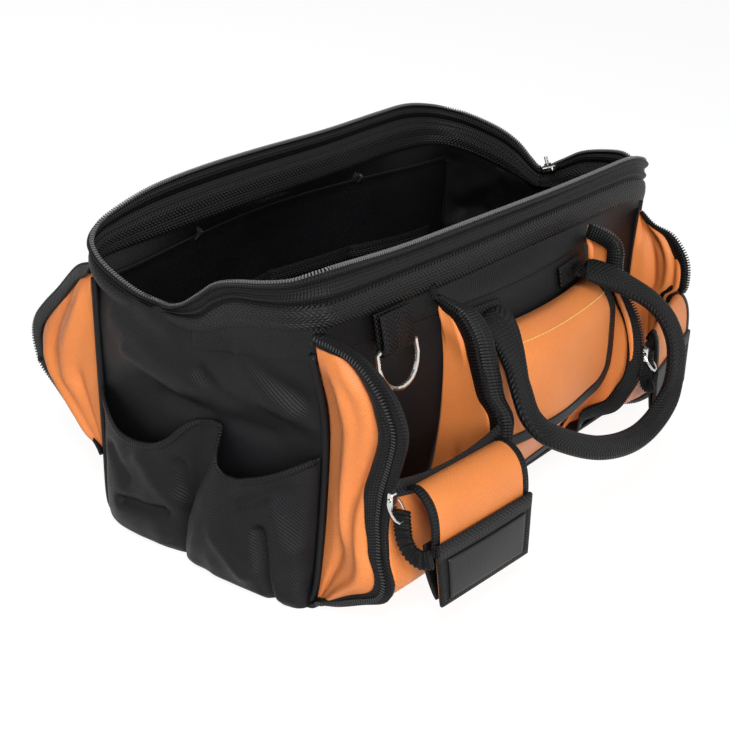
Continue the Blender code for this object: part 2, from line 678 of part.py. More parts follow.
def make_mouth_half(side, axis):
    """Steel strip with its eyes, webbing hem band and zip tape with its coil, on one half of the mouth."""
    prefix = SIDE_NAMES[side]
    half = frame_half_length(side)
    t, h = STRIP_THICKNESS / 2, STRIP_HEIGHT / 2
    strip_route = mouth_route(side, 0.0)
    flat = ((-t, -h), (-t, h), (t, h), (t, -h))
    steel = sweep_mouth(f"{prefix}_frame", side, strip_route, lambda reach: flat, BLUED_STEEL)
    for end in (LEFT, RIGHT):
        x = end * half
        spans = ((x - t, EYE_RADIUS), (x + t, EYE_RADIUS))
        eye = rod_x(f"{prefix}_{END_NAMES[end]}_eye", 0.0, PIVOT_HEIGHT, spans, BLUED_STEEL)
        combine(steel, eye, "UNION")
    for end in (LEFT, RIGHT):
        x = end * half
        bore = RIVET_RADIUS + RIVET_PLAY
        spans = ((x - t - OVERRUN, bore), (x + t + OVERRUN, bore))
        cutter = rod_x(f"{prefix}_{END_NAMES[end]}_bore", 0.0, PIVOT_HEIGHT, spans, BLUED_STEEL)
        combine(steel, cutter, "DIFFERENCE")

    o, i = BAND_HALF, BAND_POCKET
    channel = (
        (-o, -BAND_BOTTOM), (-o, BAND_TOP), (o, BAND_TOP), (o, -BAND_BOTTOM),
        (i, -BAND_BOTTOM), (i, BAND_TOP - BAND_WALL), (-i, BAND_TOP - BAND_WALL), (-i, -BAND_BOTTOM),
    )
    band_route = mouth_route(side, BAND_START)
    band = sweep_mouth(f"{prefix}_hem_band", side, band_route, lambda reach: channel, BLACK_WEBBING)

    line = -(BAND_HALF + CLEARANCE + ZIP_TAPE / 2)

    def tape(reach):
        crest = reach * math.tan(ZIP_ANGLE)
        neck = crest - COIL_HEIGHT
        foot = min(BAND_TOP - ZIP_LAP, neck - ZIP_TAPE)
        w = ZIP_TAPE / 2
        wide = COIL_HALF_WIDTH if reach > COIL_START else w
        return (
            (line - w, foot), (line - w, neck), (line - wide, neck), (line - wide, crest),
            (line + wide, crest), (line + wide, neck), (line + w, neck), (line + w, foot),
        )

    route = mouth_route(side, ZIP_START)
    shoulder = [(-half, COIL_START, -1.0, 0.0), (-half, COIL_START + COIL_HEIGHT, -1.0, 0.0)]
    route = [route[0], *shoulder, *route[1:-1], *mirrored(shoulder), route[-1]]
    zip_half = sweep_mouth(f"{prefix}_zip", side, route, tape, BLACK_COIL)
    for item in (steel, band, zip_half):
        hang(item, axis)
    return line


def make_skirt(side):
    """The short cloth skirt between the walls' top edge and a hem band. It unfolds as the mouth closes."""
    half = frame_half_length(side)
    route = mouth_route(side, SKIRT_THICKNESS / 2 + CLEARANCE, corner_steps=4, rail_steps=8)
    rows = []
    inset = FABRIC / 2
    for x, reach, nx, nr in route:
        share = reach / FRAME_REACH
        foot_x = x * (HALF_LENGTH - inset) / half
        line = wall_line(foot_x, WALL_TOP) if share > 0.99 else HALF_DEPTH - inset
        foot = Vector((foot_x, side * share * line, WALL_TOP + SKIRT_THICKNESS * 0.55))
        head = Vector(frame_point(side, x, reach, -BAND_BOTTOM - CLEARANCE * 3))
        rows.append((foot, head))

    def surface(u, v):
        foot, head = rows[round(u * (len(rows) - 1))]
        return foot.lerp(head, v)

    name = f"{SIDE_NAMES[side]}_skirt"
    sheet(name, surface, steps(len(rows) - 1), steps(2), SKIRT_THICKNESS, BLACK_CLOTH)


def make_rivet(end):
    """The rivet that joins the two strips at one end of the mouth."""
    inner = BACK_FRAME_HALF_LENGTH - STRIP_THICKNESS / 2 - CLEARANCE
    outer = FRONT_FRAME_HALF_LENGTH + STRIP_THICKNESS / 2 + CLEARANCE
    head, pin, cap = RIVET_HEAD_RADIUS, RIVET_RADIUS, RIVET_HEAD_THICKNESS
    edge = cap / 3
    spans = (
        (inner - cap, head - edge), (inner - cap + edge, head), (inner, head), (inner, pin),
        (outer, pin), (outer, head), (outer + cap - edge, head), (outer + cap, head - edge),
    )
    spans = [(end * x, radius) for x, radius in spans]
    rod_x(f"{END_NAMES[end]}_rivet", 0.0, PIVOT_HEIGHT, spans, BLUED_STEEL, sides=16)


def make_slider(axis, line):
    """The mouth zip's slider, parked at the right-hand end of the front half, with its bridge."""
    high_x = FRONT_FRAME_HALF_LENGTH + line - ZIP_TAPE / 2 - CLEARANCE
    middle_x = high_x - SLIDER_WIDTH + BRIDGE_WIDTH * 2
    low = (high_x - SLIDER_WIDTH, ZIP_START, CLEARANCE)
    high = (high_x, ZIP_START + SLIDER_LENGTH, CLEARANCE + SLIDER_THICKNESS)
    body = on_slider(block("zip_slider", low, high, NICKEL, edge=SLIDER_THICKNESS / 6))
    mid = ZIP_START + SLIDER_LENGTH / 2
    half, foot = SLIDER_LENGTH * 0.3, CLEARANCE + OVERRUN / 4
    inside, crown = half - BRIDGE_BAR, BRIDGE_BAR - BRIDGE_RISE
    outline = [
        (mid - half, foot), (mid - half, -BRIDGE_RISE), (mid + half, -BRIDGE_RISE), (mid + half, foot),
        (mid + inside, foot), (mid + inside, crown), (mid - inside, crown), (mid - inside, foot),
    ]
    rings = [[(middle_x + s * BRIDGE_WIDTH / 2, y, z) for y, z in outline] for s in (-1, 1)]
    bridge = on_slider(skin("slider_bridge", rings, NICKEL))
    combine(body, bridge, "UNION")
    hang(body, axis)
    hang(bridge, axis)
    make_puller(middle_x, mid, half)


def on_slider(item):
    """Turns a piece drawn flat into the plane of the zip at the slider's place."""
    turn = Matrix.Rotation(math.pi - FRAME_REST_ANGLE - ZIP_ANGLE, 4, "X")
    item.data.transform(Matrix.Translation((0, 0, PIVOT_HEIGHT)) @ turn)
    return item


def make_puller(middle_x, mid, bridge_half):
    """The slider's puller: a flat plate with a hole, and a long eye that swings past the bridge."""
    eye_z = -(BRIDGE_RISE - BRIDGE_BAR) / 2 + CLEARANCE / 2
    half, t = PULLER_WIDTH / 2, PULLER_THICKNESS / 2
    tip = eye_z + t - PULLER_LENGTH
    low, high = (middle_x - half, mid - t, tip), (middle_x + half, mid + t, eye_z + t)
    puller = on_slider(block("zip_puller", low, high, NICKEL))
    past_bridge = math.hypot(bridge_half, BRIDGE_RISE + eye_z) + PULLER_THICKNESS
    inside, split = half - PULLER_EYE, eye_z - past_bridge
    holes = []
    for count, (z0, z1) in enumerate(((split, eye_z - t), (tip + PULLER_EYE, split - PULLER_EYE))):
        low, high = (middle_x - inside, mid - OVERRUN, z0), (middle_x + inside, mid + OVERRUN, z1)
        holes.append(on_slider(block(f"puller_hole_{count + 1}", low, high, NICKEL)))
    turn = Matrix.Rotation(math.pi - FRAME_REST_ANGLE - ZIP_ANGLE, 4, "X")
    knuckle = pivot("zip_puller_axis", turn @ Vector((middle_x, mid, eye_z)) + Vector((0, 0, PIVOT_HEIGHT)))
    for hole in holes:
        combine(puller, hole, "DIFFERENCE")
        hang(hole, knuckle)
    hang(puller, knuckle)


# The route of a resting handle in the spread of its roots, its reach out from the roots and its drop,
# chosen by eye: the right-hand leg stands out further than the left.
HANDLE_ROUTE_SHARES = (
    (-1.00, 0.00, 0.00), (-1.03, 0.30, 0.11), (-1.10, 0.56, 0.32), (-1.06, 0.77, 0.60), (-0.86, 0.90, 0.84),
    (-0.40, 0.96, 0.96), (0.20, 1.00, 1.00), (0.80, 1.02, 0.98), (1.26, 1.03, 0.82), (1.42, 1.02, 0.56),
    (1.38, 0.86, 0.32), (1.16, 0.46, 0.12), (1.00, 0.00, 0.00),
)


def make_handle(side):
    """A webbing handle: flat where it leaves the wall, folded and turned on edge round the grip."""
    inner_edge = HANDLE_ROOT_SPREAD - HANDLE_WIDTH / 2
    root_y = wall_outside(inner_edge, HANDLE_ROOT_HEIGHT) + WEBBING / 2 + CLEARANCE
    mirror = 1 if side == FRONT else -1
    corners = []
    for spread, out, fall in HANDLE_ROUTE_SHARES:
        x = mirror * spread * HANDLE_ROOT_SPREAD
        y = root_y + out * HANDLE_REACH
        corners.append((x, side * y, HANDLE_ROOT_HEIGHT - fall * HANDLE_FALL))
    line = [Vector(p) for p in smooth_line(corners, 4)]
    centre = sum(line, Vector()) / len(line)
    rings = []
    for k, point in enumerate(line):
        ahead = line[min(k + 1, len(line) - 1)] - line[max(k - 1, 0)]
        tangent = ahead.normalized()
        share = k / (len(line) - 1)
        twist = ease(min(share, 1 - share) / 0.22)
        flat = Vector((1, 0, 0)).cross(tangent) * (1 if tangent.z * side * mirror > 0 else -1)
        flat = Vector((0, side, 0)) if flat.length < 0.2 else flat.normalized()
        hoop = (point - centre)
        normal = flat.lerp(hoop.normalized(), twist)
        normal = (normal - tangent * normal.dot(tangent)).normalized()
        across = tangent.cross(normal)
        width = mix(HANDLE_WIDTH, GRIP_WIDTH, twist) / 2
        thick = mix(WEBBING, GRIP_THICKNESS, twist) / 2
        if k in (0, len(line) - 1):
            across, normal = Vector((1, 0, 0)), Vector((0, side, 0))
        edge = thick * 0.5
        section = ((-width, -edge), (-width + edge, -thick), (width - edge, -thick), (width, -edge),
                   (width, edge), (width - edge, thick), (-width + edge, thick), (-width, edge))
        rings.append([point + across * a + normal * b for a, b in section])
    handle = skin(f"{SIDE_NAMES[side]}_handle", aligned(rings), BLACK_WEBBING)
    axis = pivot(f"{SIDE_NAMES[side]}_handle_axis", (0.0, side * root_y, HANDLE_ROOT_HEIGHT))
    hang(handle, axis)


def aligned(rings):
    """Turns each ring's point order so that it follows the one before without a twist."""
    done = [rings[0]]
    for ring in rings[1:]:
        count = len(ring)
        last = done[-1]
        best = min(
            ([ring[(d * i + k) % count] for i in range(count)] for k in range(count) for d in (1, -1)),
            key=lambda order: sum((a - b).length for a, b in zip(order, last)),
        )
        done.append(best)
    return done


def make_ring_tab(side, end):
    """A webbing tab folded round the straight bar of a D-ring, high on a long wall."""
    prefix = f"{SIDE_NAMES[side]}_{END_NAMES[end]}"
    x, half = end * RING_X, TAB_WIDTH / 2
    near = wall_outside(x - end * half, TAB_BOTTOM)
    y0, y1 = sorted((side * near, side * (near + TAB_THICKNESS)))
    low, high = (x - half, y0, TAB_BOTTOM), (x + half, y1, TAB_TOP)
    tab = block(f"{prefix}_ring_tab", low, high, BLACK_WEBBING, edge=TAB_THICKNESS / 5)
    bar_y = side * (near + TAB_THICKNESS / 2)
    bar_z = TAB_BOTTOM + TAB_THICKNESS / 2 + TAB_PLAY
    bore, reach = RING_WIRE + TAB_PLAY, half + OVERRUN
    spans = ((x - reach, bore), (x + reach, bore))
    combine(tab, rod_x(f"{prefix}_tab_bore", bar_y, bar_z, spans, BLACK_WEBBING, sides=12), "DIFFERENCE")
    make_d_ring(f"{prefix}_d_ring", Vector((x, bar_y, bar_z)), side)


def make_d_ring(name, place, side):
    """A D-ring of round wire whose straight bar lies in its tab."""
    half = RING_WIDTH / 2
    points = [(-half * 0.8, 0, 0), (half * 0.8, 0, 0), (half * 0.95, 0, -RING_WIRE / 2)]
    for k in range(1, 12):
        a = math.pi * k / 12
        points.append((half * math.cos(a), 0, -RING_DROP * math.sin(a) ** 0.75))
    points.append((-half * 0.95, 0, -RING_WIRE / 2))
    lean = Matrix.Rotation(side * RING_TILT, 3, "X")
    line = [place + lean @ Vector(p) for p in points]
    hang(tube(name, line, RING_WIRE, lean @ Vector((0, 1, 0)), NICKEL), pivot(f"{name}_axis", place))


# The arch of a lid from its hinge to its lower end: shares of its reach, its rise and its drop.
LID_ARCH_SHARES = (
    (0.0, 0.0, 0.0), (0.16, 0.85, 0.0), (0.33, 1.0, 0.0), (0.54, 0.4, 0.0),
    (0.75, 0.0, 0.12), (0.89, 0.0, 0.36), (0.97, 0.0, 0.66), (1.0, 0.0, 1.0),
)
# The outline of half an oval ring: shares of its half width and of its drop.
OVAL_SHARES = ((0.62, 0.0), (0.86, 0.10), (1.0, 0.32), (1.0, 0.55), (0.82, 0.82), (0.42, 0.97))


def lid_place(end):
    """The middle of a lid's hinge line on its pocket's rim, and the turn that lays it along that rim."""
    outer_x, inner_x = pocket_span(end)
    levels = (PANEL_TOP - PANEL_SAG, PANEL_TOP - TAG_HEIGHT * 1.5)
    outer, inner = (max(pair) for pair in zip(*(rim_edges(FRONT, end, level) for level in levels)))
    turn = math.atan2(end * (inner - outer), abs(outer_x - inner_x))
    proud = (PANEL_THICKNESS / 2 + CLEARANCE) / math.cos(turn)
    return Vector(((outer_x + inner_x) / 2, -(outer + inner) / 2 - proud, PANEL_TOP)), turn


def make_pocket_lid(end):
    """The arched lid in front of a front bellows pocket, with its black end panel and its loop."""
    prefix = f"front_{END_NAMES[end]}"
    place, turn = lid_place(end)
    half = LID_WIDTH / 2
    arch = smooth_line([
        (CLEARANCE - out * LID_REACH, rise * LID_RISE - drop * LID_DROP)
        for out, rise, drop in LID_ARCH_SHARES
    ], 2)
    rows = range(len(arch))
    columns = (-half, 0.0, half)
    lid = sheet(f"{prefix}_lid", lambda x, k: (x, *arch[k]), columns, rows, LID_THICKNESS, ORANGE_CLOTH)
    front = -LID_REACH - LID_THICKNESS / 2 - CLEARANCE
    top, wide = -LID_END_TOP, half + LID_END_MARGIN
    low, high = (-wide, front - LID_END_THICKNESS, top - LID_END_HEIGHT), (wide, front, top)
    apron = block(f"{prefix}_lid_end", low, high, BLACK_VINYL, edge=LID_END_THICKNESS / 4)
    loop_x = -wide - CLEARANCE - LOOP_WIDTH / 2
    start = (-LOOP_THICKNESS, -LOOP_START)
    last = (front - LID_END_THICKNESS / 2, top - LID_END_HEIGHT * 0.3)
    loop = make_loop(f"{prefix}_ribbed_loop", loop_x, start, last)
    axis = pivot(f"{prefix}_lid_axis", place)
    axis.rotation_euler.z = turn
    for item in (lid, apron, loop):
        item.parent = axis
    make_pocket_slider(end, place, turn, loop_x)


def make_loop(name, x, start, last):
    """A hanging loop of ribbed webbing from start to last, both given as (y, z)."""
    belly = LOOP_DROP - LOOP_START
    rings = []
    count = 10
    for k in range(count + 1):
        a = math.pi * k / count
        y = mix(start[0], last[0], (1 - math.cos(a)) / 2)
        z = mix(start[1], last[1], k / count) - belly * math.sin(a)
        run = (last[0] - start[0]) / 2 * math.sin(a)
        fall = (last[1] - start[1]) / math.pi - belly * math.cos(a)
        normal = Vector((0, run, fall)).normalized().cross(Vector((1, 0, 0))) * LOOP_THICKNESS / 2
        place, across = Vector((x, y, z)), Vector((LOOP_WIDTH / 2, 0, 0))
        rings.append([place + across * i + normal * j for i, j in ((-1, -1), (-1, 1), (1, 1), (1, -1))])
    return skin(name, rings, BLACK_WEBBING)


def make_pocket_slider(end, place, turn, tag_x):
    """The slider of a front pocket's zip, parked on the pocket's rim, and the oval ring through it."""
    prefix = f"front_{END_NAMES[end]}"
    low = (tag_x - TAG_WIDTH / 2, -TAG_DEPTH, -TAG_HEIGHT)
    tag = block(f"{prefix}_pocket_slider", low, (tag_x + TAG_WIDTH / 2, 0.0, 0.0), NICKEL, edge=TAG_DEPTH / 6)
    bar = Vector((tag_x, -TAG_DEPTH / 2, -TAG_HEIGHT * 0.4))
    bore, reach = OVAL_WIRE + CLEARANCE * 2, TAG_WIDTH / 2 + OVERRUN
    spans = ((tag_x - reach, bore), (tag_x + reach, bore))
    cutter = rod_x(f"{prefix}_slider_bore", bar.y, bar.z, spans, NICKEL, sides=8)
    combine(tag, cutter, "DIFFERENCE")
    seat = pivot(f"{prefix}_pocket_slider_seat", place)
    seat.rotation_euler.z = turn
    tag.parent = seat
    cutter.parent = seat
    right = [Vector((w * OVAL_WIDTH / 2, 0, -d * OVAL_DROP)) for w, d in OVAL_SHARES]
    left = [Vector((-p.x, 0, p.z)) for p in reversed(right)]
    lean = Matrix.Rotation(-OVAL_LEAN, 3, "X")
    line = [lean @ p for p in right + left]
    oval = tube(f"{prefix}_slider_ring", line, OVAL_WIRE, lean @ Vector((0, 1, 0)), NICKEL, sides=6)
    knuckle = pivot(f"{prefix}_slider_ring_axis", place + Matrix.Rotation(turn, 3, "Z") @ bar)
    knuckle.rotation_euler.z = turn
    oval.parent = knuckle


def make_bag():
    for old in list(bpy.data.objects):
        bpy.data.objects.remove(old, do_unlink=True)
    make_base()
    for side in (FRONT, BACK):
        make_wall(side)
        make_centre_pocket(side)
        make_inner_pocket(side)
        make_skirt(side)
        make_handle(side)
        for end in (LEFT, RIGHT):
            make_bellows_pocket(side, end)
    for end in (LEFT, RIGHT):
        make_end(end)
        make_rivet(end)
        make_pocket_lid(end)
        for side in (FRONT, BACK):
            make_end_pocket(end, side)
    make_flap()
    axes = {side: pivot(f"{SIDE_NAMES[side]}_frame_axis", (0.0, 0.0, PIVOT_HEIGHT)) for side in (FRONT, BACK)}
    line = [make_mouth_half(side, axes[side]) for side in (FRONT, BACK)][0]
    make_slider(axes[FRONT], line)
    make_ring_tab(FRONT, LEFT)
    make_ring_tab(BACK, RIGHT)


make_bag()
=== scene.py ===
import math

import bmesh
import bpy
import numpy as np
from mathutils import Matrix, Vector


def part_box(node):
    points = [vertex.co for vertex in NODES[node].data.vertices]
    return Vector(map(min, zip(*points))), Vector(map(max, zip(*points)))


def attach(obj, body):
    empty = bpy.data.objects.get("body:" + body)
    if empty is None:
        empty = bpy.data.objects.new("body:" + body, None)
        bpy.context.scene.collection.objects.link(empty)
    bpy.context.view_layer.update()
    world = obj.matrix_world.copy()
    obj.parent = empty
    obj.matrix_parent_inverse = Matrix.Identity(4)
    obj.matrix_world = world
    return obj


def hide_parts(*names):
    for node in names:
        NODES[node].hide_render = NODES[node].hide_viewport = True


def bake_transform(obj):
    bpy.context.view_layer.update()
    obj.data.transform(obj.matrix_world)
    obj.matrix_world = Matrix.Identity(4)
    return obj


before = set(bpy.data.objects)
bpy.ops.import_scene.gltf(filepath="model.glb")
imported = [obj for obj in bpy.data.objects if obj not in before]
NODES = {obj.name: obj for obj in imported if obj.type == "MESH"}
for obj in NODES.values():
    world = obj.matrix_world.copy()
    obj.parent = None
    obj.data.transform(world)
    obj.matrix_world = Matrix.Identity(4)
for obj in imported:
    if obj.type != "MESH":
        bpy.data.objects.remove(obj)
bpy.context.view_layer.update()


# Camera: the photograph's view, fitted to the body's edges. It looks down at the bag's front left corner
# through a long lens.
CAMERA_PLACE = (-0.7902, -0.6035, 0.5350)
CAMERA_AZIMUTH = math.radians(-51.583)
CAMERA_ELEVATION = math.radians(24.666)
CAMERA_ROLL = math.radians(-1.141)
FOCAL_PIXELS = 1393.6
FRAME_PIXELS = 729

scene = bpy.context.scene
eye = bpy.data.objects.new("camera", bpy.data.cameras.new("camera"))
eye.data.sensor_width = 36.0
eye.data.lens = FOCAL_PIXELS / FRAME_PIXELS * eye.data.sensor_width
gaze = Vector((
    math.sin(-CAMERA_AZIMUTH) * math.cos(CAMERA_ELEVATION),
    math.cos(CAMERA_AZIMUTH) * math.cos(CAMERA_ELEVATION),
    -math.sin(CAMERA_ELEVATION),
))
turned = gaze.to_track_quat("-Z", "Y").to_matrix().to_4x4() @ Matrix.Rotation(-CAMERA_ROLL, 4, "Z")
eye.matrix_world = Matrix.Translation(CAMERA_PLACE) @ turned
scene.collection.objects.link(eye)
scene.camera = eye
scene.view_settings.view_transform = "Standard"


# Studio: a pale floor that keeps the bag's shadow and shows white, a white world, and large soft lamps.
# The key stands above the front left corner, the fill low before the front and the rim behind the bag.
FLOOR_SIZE = 6.0
FLOOR_WHITE = 0.92
FLOOR_OWN_SHARE = 0.24
LAMPS = (
    ("key", (-1.30, -0.95, 1.75), 0.7, 23.5),
    ("fill", (-1.15, -1.80, 0.85), 1.2, 34.0),
    ("rim", (0.6, 1.7, 1.8), 1.2, 14.0),
)
LAMP_AIM = (0, 0, 0.12)
WORLD_LEVEL = 0.13
WHITE_LEVEL = 1.17


def sums(tree, operation, *terms, clamp=False):
    """A Math node over sockets or numbers."""
    node = tree.nodes.new("ShaderNodeMath")
    node.operation = operation
    node.use_clamp = clamp
    for slot, term in zip(node.inputs, terms):
        if hasattr(term, "is_output"):
            tree.links.new(term, slot)
        else:
            slot.default_value = term
    return node.outputs[0]


def studio_look(owner, kind, socket, value, own_share, white_kind, output_kind):
    """Gives a material or a world one shader. Camera, glossy and transmission rays see plain white
    instead, apart from the shader's own share."""
    owner.use_nodes = True
    tree = owner.node_tree
    tree.nodes.clear()
    shader = tree.nodes.new(kind)
    shader.inputs[socket].default_value = value
    path = tree.nodes.new("ShaderNodeLightPath")
    seen = path.outputs["Is Camera Ray"]
    for ray in ("Is Glossy Ray", "Is Transmission Ray"):
        seen = sums(tree, "MAXIMUM", seen, path.outputs[ray])
    white = tree.nodes.new(white_kind)
    white.inputs["Strength"].default_value = WHITE_LEVEL
    mixed = tree.nodes.new("ShaderNodeMixShader")
    tree.links.new(sums(tree, "MULTIPLY", seen, 1.0 - own_share), mixed.inputs[0])
    tree.links.new(shader.outputs[0], mixed.inputs[1])
    tree.links.new(white.outputs[0], mixed.inputs[2])
    tree.links.new(mixed.outputs[0], tree.nodes.new(output_kind).inputs["Surface"])


def mesh_object(name, places, faces, look):
    """A linked mesh object of one material."""
    mesh = bpy.data.meshes.new(name)
    mesh.from_pydata(places, [], faces)
    mesh.materials.append(look)
    made = bpy.data.objects.new(name, mesh)
    scene.collection.objects.link(made)
    return made


floor_look = bpy.data.materials.new("floor_paper")
studio_look(floor_look, "ShaderNodeBsdfDiffuse", "Color", (FLOOR_WHITE, FLOOR_WHITE, FLOOR_WHITE, 1.0),
            FLOOR_OWN_SHARE, "ShaderNodeEmission", "ShaderNodeOutputMaterial")
half = FLOOR_SIZE / 2
floor = mesh_object("floor", [(-half, -half, 0), (half, -half, 0), (half, half, 0), (-half, half, 0)],
                    [(0, 1, 2, 3)], floor_look)

scene.world = bpy.data.worlds.new("studio")
studio_look(scene.world, "ShaderNodeBackground", "Strength", WORLD_LEVEL, 0.0,
            "ShaderNodeBackground", "ShaderNodeOutputWorld")

for name, place, size, power in LAMPS:
    lamp = bpy.data.lights.new(name, "AREA")
    lamp.shape = "DISK"
    lamp.size = size
    lamp.energy = power
    holder = bpy.data.objects.new(name, lamp)
    holder.location = place
    holder.rotation_euler = (Vector(LAMP_AIM) - Vector(place)).to_track_quat("-Z", "Y").to_euler()
    scene.collection.objects.link(holder)


# Cloth and webbing: coarse black and orange polyester, plain woven, with a soft nap that catches the
# light; black webbing with a twill or a ribbed face. The yarns follow the cut of each piece, through a
# map in metres along the cloth.
YARN = 0.0011
RIB = 0.0021
BEAD = RIB * 0.9


def group(name, inputs, outputs):
    """A new shader group with (socket, kind, default) inputs and (socket, kind) outputs."""
    made = bpy.data.node_groups.new(name, "ShaderNodeTree")
    for label, kind, default in inputs:
        socket = made.interface.new_socket(label, in_out="INPUT", socket_type=f"NodeSocket{kind}")
        if default is not None:
            socket.default_value = default
    for label, kind in outputs:
        made.interface.new_socket(label, in_out="OUTPUT", socket_type=f"NodeSocket{kind}")
    return made, made.nodes.new("NodeGroupInput"), made.nodes.new("NodeGroupOutput")


def weave_group():
    """Plain weave: the product of two sine waves, one across and one along, a yarn's width apart."""
    made, source, sink = group(
        "plain_weave", (("Map", "Vector", None), ("Yarn", "Float", YARN)), (("Height", "Float"),))
    part = made.nodes.new("ShaderNodeSeparateXYZ")
    made.links.new(source.outputs["Map"], part.inputs[0])
    waves = []
    for axis in ("X", "Y"):
        turn = sums(made, "MULTIPLY", part.outputs[axis], math.pi)
        waves.append(sums(made, "SINE", sums(made, "DIVIDE", turn, source.outputs["Yarn"])))
    height = sums(made, "MULTIPLY_ADD", sums(made, "MULTIPLY", *waves), 0.5, 0.5)
    made.links.new(height, sink.inputs["Height"])
    return made


def twill_group():
    """Webbing: slanted ribs that turn back at each quarter of the width, so that they meet in arrows."""
    made, source, sink = group(
        "webbing_twill",
        (("Map", "Vector", None), ("Rib", "Float", RIB), ("Slant", "Float", 1.0), ("Width", "Float", 0.02)),
        (("Height", "Float"),))
    part = made.nodes.new("ShaderNodeSeparateXYZ")
    made.links.new(source.outputs["Map"], part.inputs[0])
    across = sums(made, "PINGPONG", part.outputs["Y"], sums(made, "DIVIDE", source.outputs["Width"], 4.0))
    slanted = sums(made, "ADD", part.outputs["X"], sums(made, "MULTIPLY", across, source.outputs["Slant"]))
    turn = sums(made, "DIVIDE", sums(made, "MULTIPLY", slanted, math.tau), source.outputs["Rib"])
    yarns = sums(made, "SINE", sums(made, "MULTIPLY", part.outputs["Y"], math.tau / BEAD))
    raised = sums(made, "MULTIPLY_ADD", sums(made, "SINE", turn), 0.5, 0.5)
    beads = sums(made, "MULTIPLY_ADD", yarns, 0.35, 0.65)
    made.links.new(sums(made, "MULTIPLY", raised, beads), sink.inputs["Height"])
    return made


def worn_group():
    """Slow blotches and fine fluff over the whole bag, for the uneven nap of cloth that was handled."""
    made, source, sink = group(
        "nap", (("Blotch", "Float", 22.0), ("Fluff", "Float", 900.0)),
        (("Tone", "Float"), ("Rough", "Float")))
    place = made.nodes.new("ShaderNodeTexCoord")
    tones = []
    for size, detail in (("Blotch", 3.0), ("Fluff", 1.0)):
        noise = made.nodes.new("ShaderNodeTexNoise")
        noise.inputs["Detail"].default_value = detail
        made.links.new(place.outputs["Object"], noise.inputs["Vector"])
        made.links.new(source.outputs[size], noise.inputs["Scale"])
        tones.append(noise.outputs["Fac"])
    tone = sums(made, "ADD", sums(made, "MULTIPLY", tones[0], 0.6), sums(made, "MULTIPLY", tones[1], 0.4))
    made.links.new(tone, sink.inputs["Tone"])
    made.links.new(sums(made, "MULTIPLY_ADD", tones[0], 0.16, 0.40), sink.inputs["Rough"])
    return made


WEAVE, TWILL, NAP = weave_group(), twill_group(), worn_group()


def shader_of(name, roughness=0.75, metallic=0.0, colour=None):
    """A new material, its node tree and its Principled shader."""
    look = bpy.data.materials.new(name)
    look.use_nodes = True
    shader = look.node_tree.nodes["Principled BSDF"]
    shader.inputs["Roughness"].default_value = roughness
    shader.inputs["Metallic"].default_value = metallic
    if colour:
        shader.inputs["Base Color"].default_value = (*colour, 1.0)
    return look, look.node_tree, shader


def group_in(tree, kind, **settings):
    """A shader group placed in a tree, with its settings."""
    node = tree.nodes.new("ShaderNodeGroup")
    node.node_tree = kind
    for socket, value in settings.items():
        node.inputs[socket].default_value = value
    return node


def blend_colours(tree, shader, low, high, share):
    """Gives a shader a base colour between two colours, by a share."""
    mixer = tree.nodes.new("ShaderNodeMix")
    mixer.data_type = "RGBA"
    mixer.inputs["A"].default_value = (*low, 1.0)
    mixer.inputs["B"].default_value = (*high, 1.0)
    tree.links.new(share, mixer.inputs["Factor"])
    tree.links.new(mixer.outputs["Result"], shader.inputs["Base Color"])


def raise_face(tree, shader, height, distance, strength):
    """Gives a shader the normals of a face raised by a height."""
    raised = tree.nodes.new("ShaderNodeBump")
    raised.inputs["Distance"].default_value = distance
    raised.inputs["Strength"].default_value = strength
    tree.links.new(height, raised.inputs["Height"])
    tree.links.new(raised.outputs[0], shader.inputs["Normal"])


def woven(name, low, high, kind, settings, bump, sheen, contrast, shine):
    """A cloth or webbing material: its weave raises the yarns, and its colour is darker in the gaps between
    them and lighter on their tops, a painted shade and highlight of the weave's relief.
    """
    look, tree, shader = shader_of(name)
    weave = group_in(tree, kind, **settings)
    tree.links.new(tree.nodes.new("ShaderNodeUVMap").outputs[0], weave.inputs["Map"])
    nap = group_in(tree, NAP)
    # The weave's height, scaled by contrast, darkens the colour in the gaps and lightens it on the yarns:
    # painted shade and highlight.
    yarns = sums(tree, "MULTIPLY_ADD", weave.outputs["Height"], contrast, -contrast / 2)
    blend_colours(tree, shader, low, high, sums(tree, "ADD", nap.outputs["Tone"], yarns, clamp=True))
    tree.links.new(nap.outputs["Rough"], shader.inputs["Roughness"])
    raise_face(tree, shader, weave.outputs["Height"], bump, 0.8)
    shader.inputs["Sheen Weight"].default_value = sheen
    shader.inputs["Sheen Roughness"].default_value = 0.5
    shader.inputs["Specular IOR Level"].default_value = shine
    return look


BLACK_CLOTH = woven("black_polyester", (0.0004, 0.0004, 0.0005), (0.0066, 0.0068, 0.0082), WEAVE,
                    {"Yarn": YARN}, 0.00040, 0.002, 1.2, 0.20)
ORANGE_CLOTH = woven("orange_polyester", (0.58, 0.155, 0.035), (0.84, 0.285, 0.074), WEAVE,
                     {"Yarn": YARN}, 0.00020, 0.03, 0.30, 0.35)
HEM_WEBBING = woven("hem_webbing", (0.0006, 0.0006, 0.0008), (0.017, 0.0174, 0.019), TWILL,
                    {"Slant": 1.2, "Width": 0.020, "Rib": 0.0034}, 0.0009, 0.008, 1.8, 0.24)
HANDLE_WEBBING = woven("handle_webbing", (0.0005, 0.0005, 0.0006), (0.0072, 0.0074, 0.0084), TWILL,
                       {"Slant": 0.9, "Width": 0.038, "Rib": 0.0032}, 0.0009, 0.006, 1.5, 0.16)
RIBBED_TAPE = woven("ribbed_tape", (0.0005, 0.0005, 0.0006), (0.0075, 0.0077, 0.0086), TWILL,
                    {"Slant": 0.0, "Width": 0.02, "Rib": 0.0022}, 0.0006, 0.006, 1.3, 0.18)


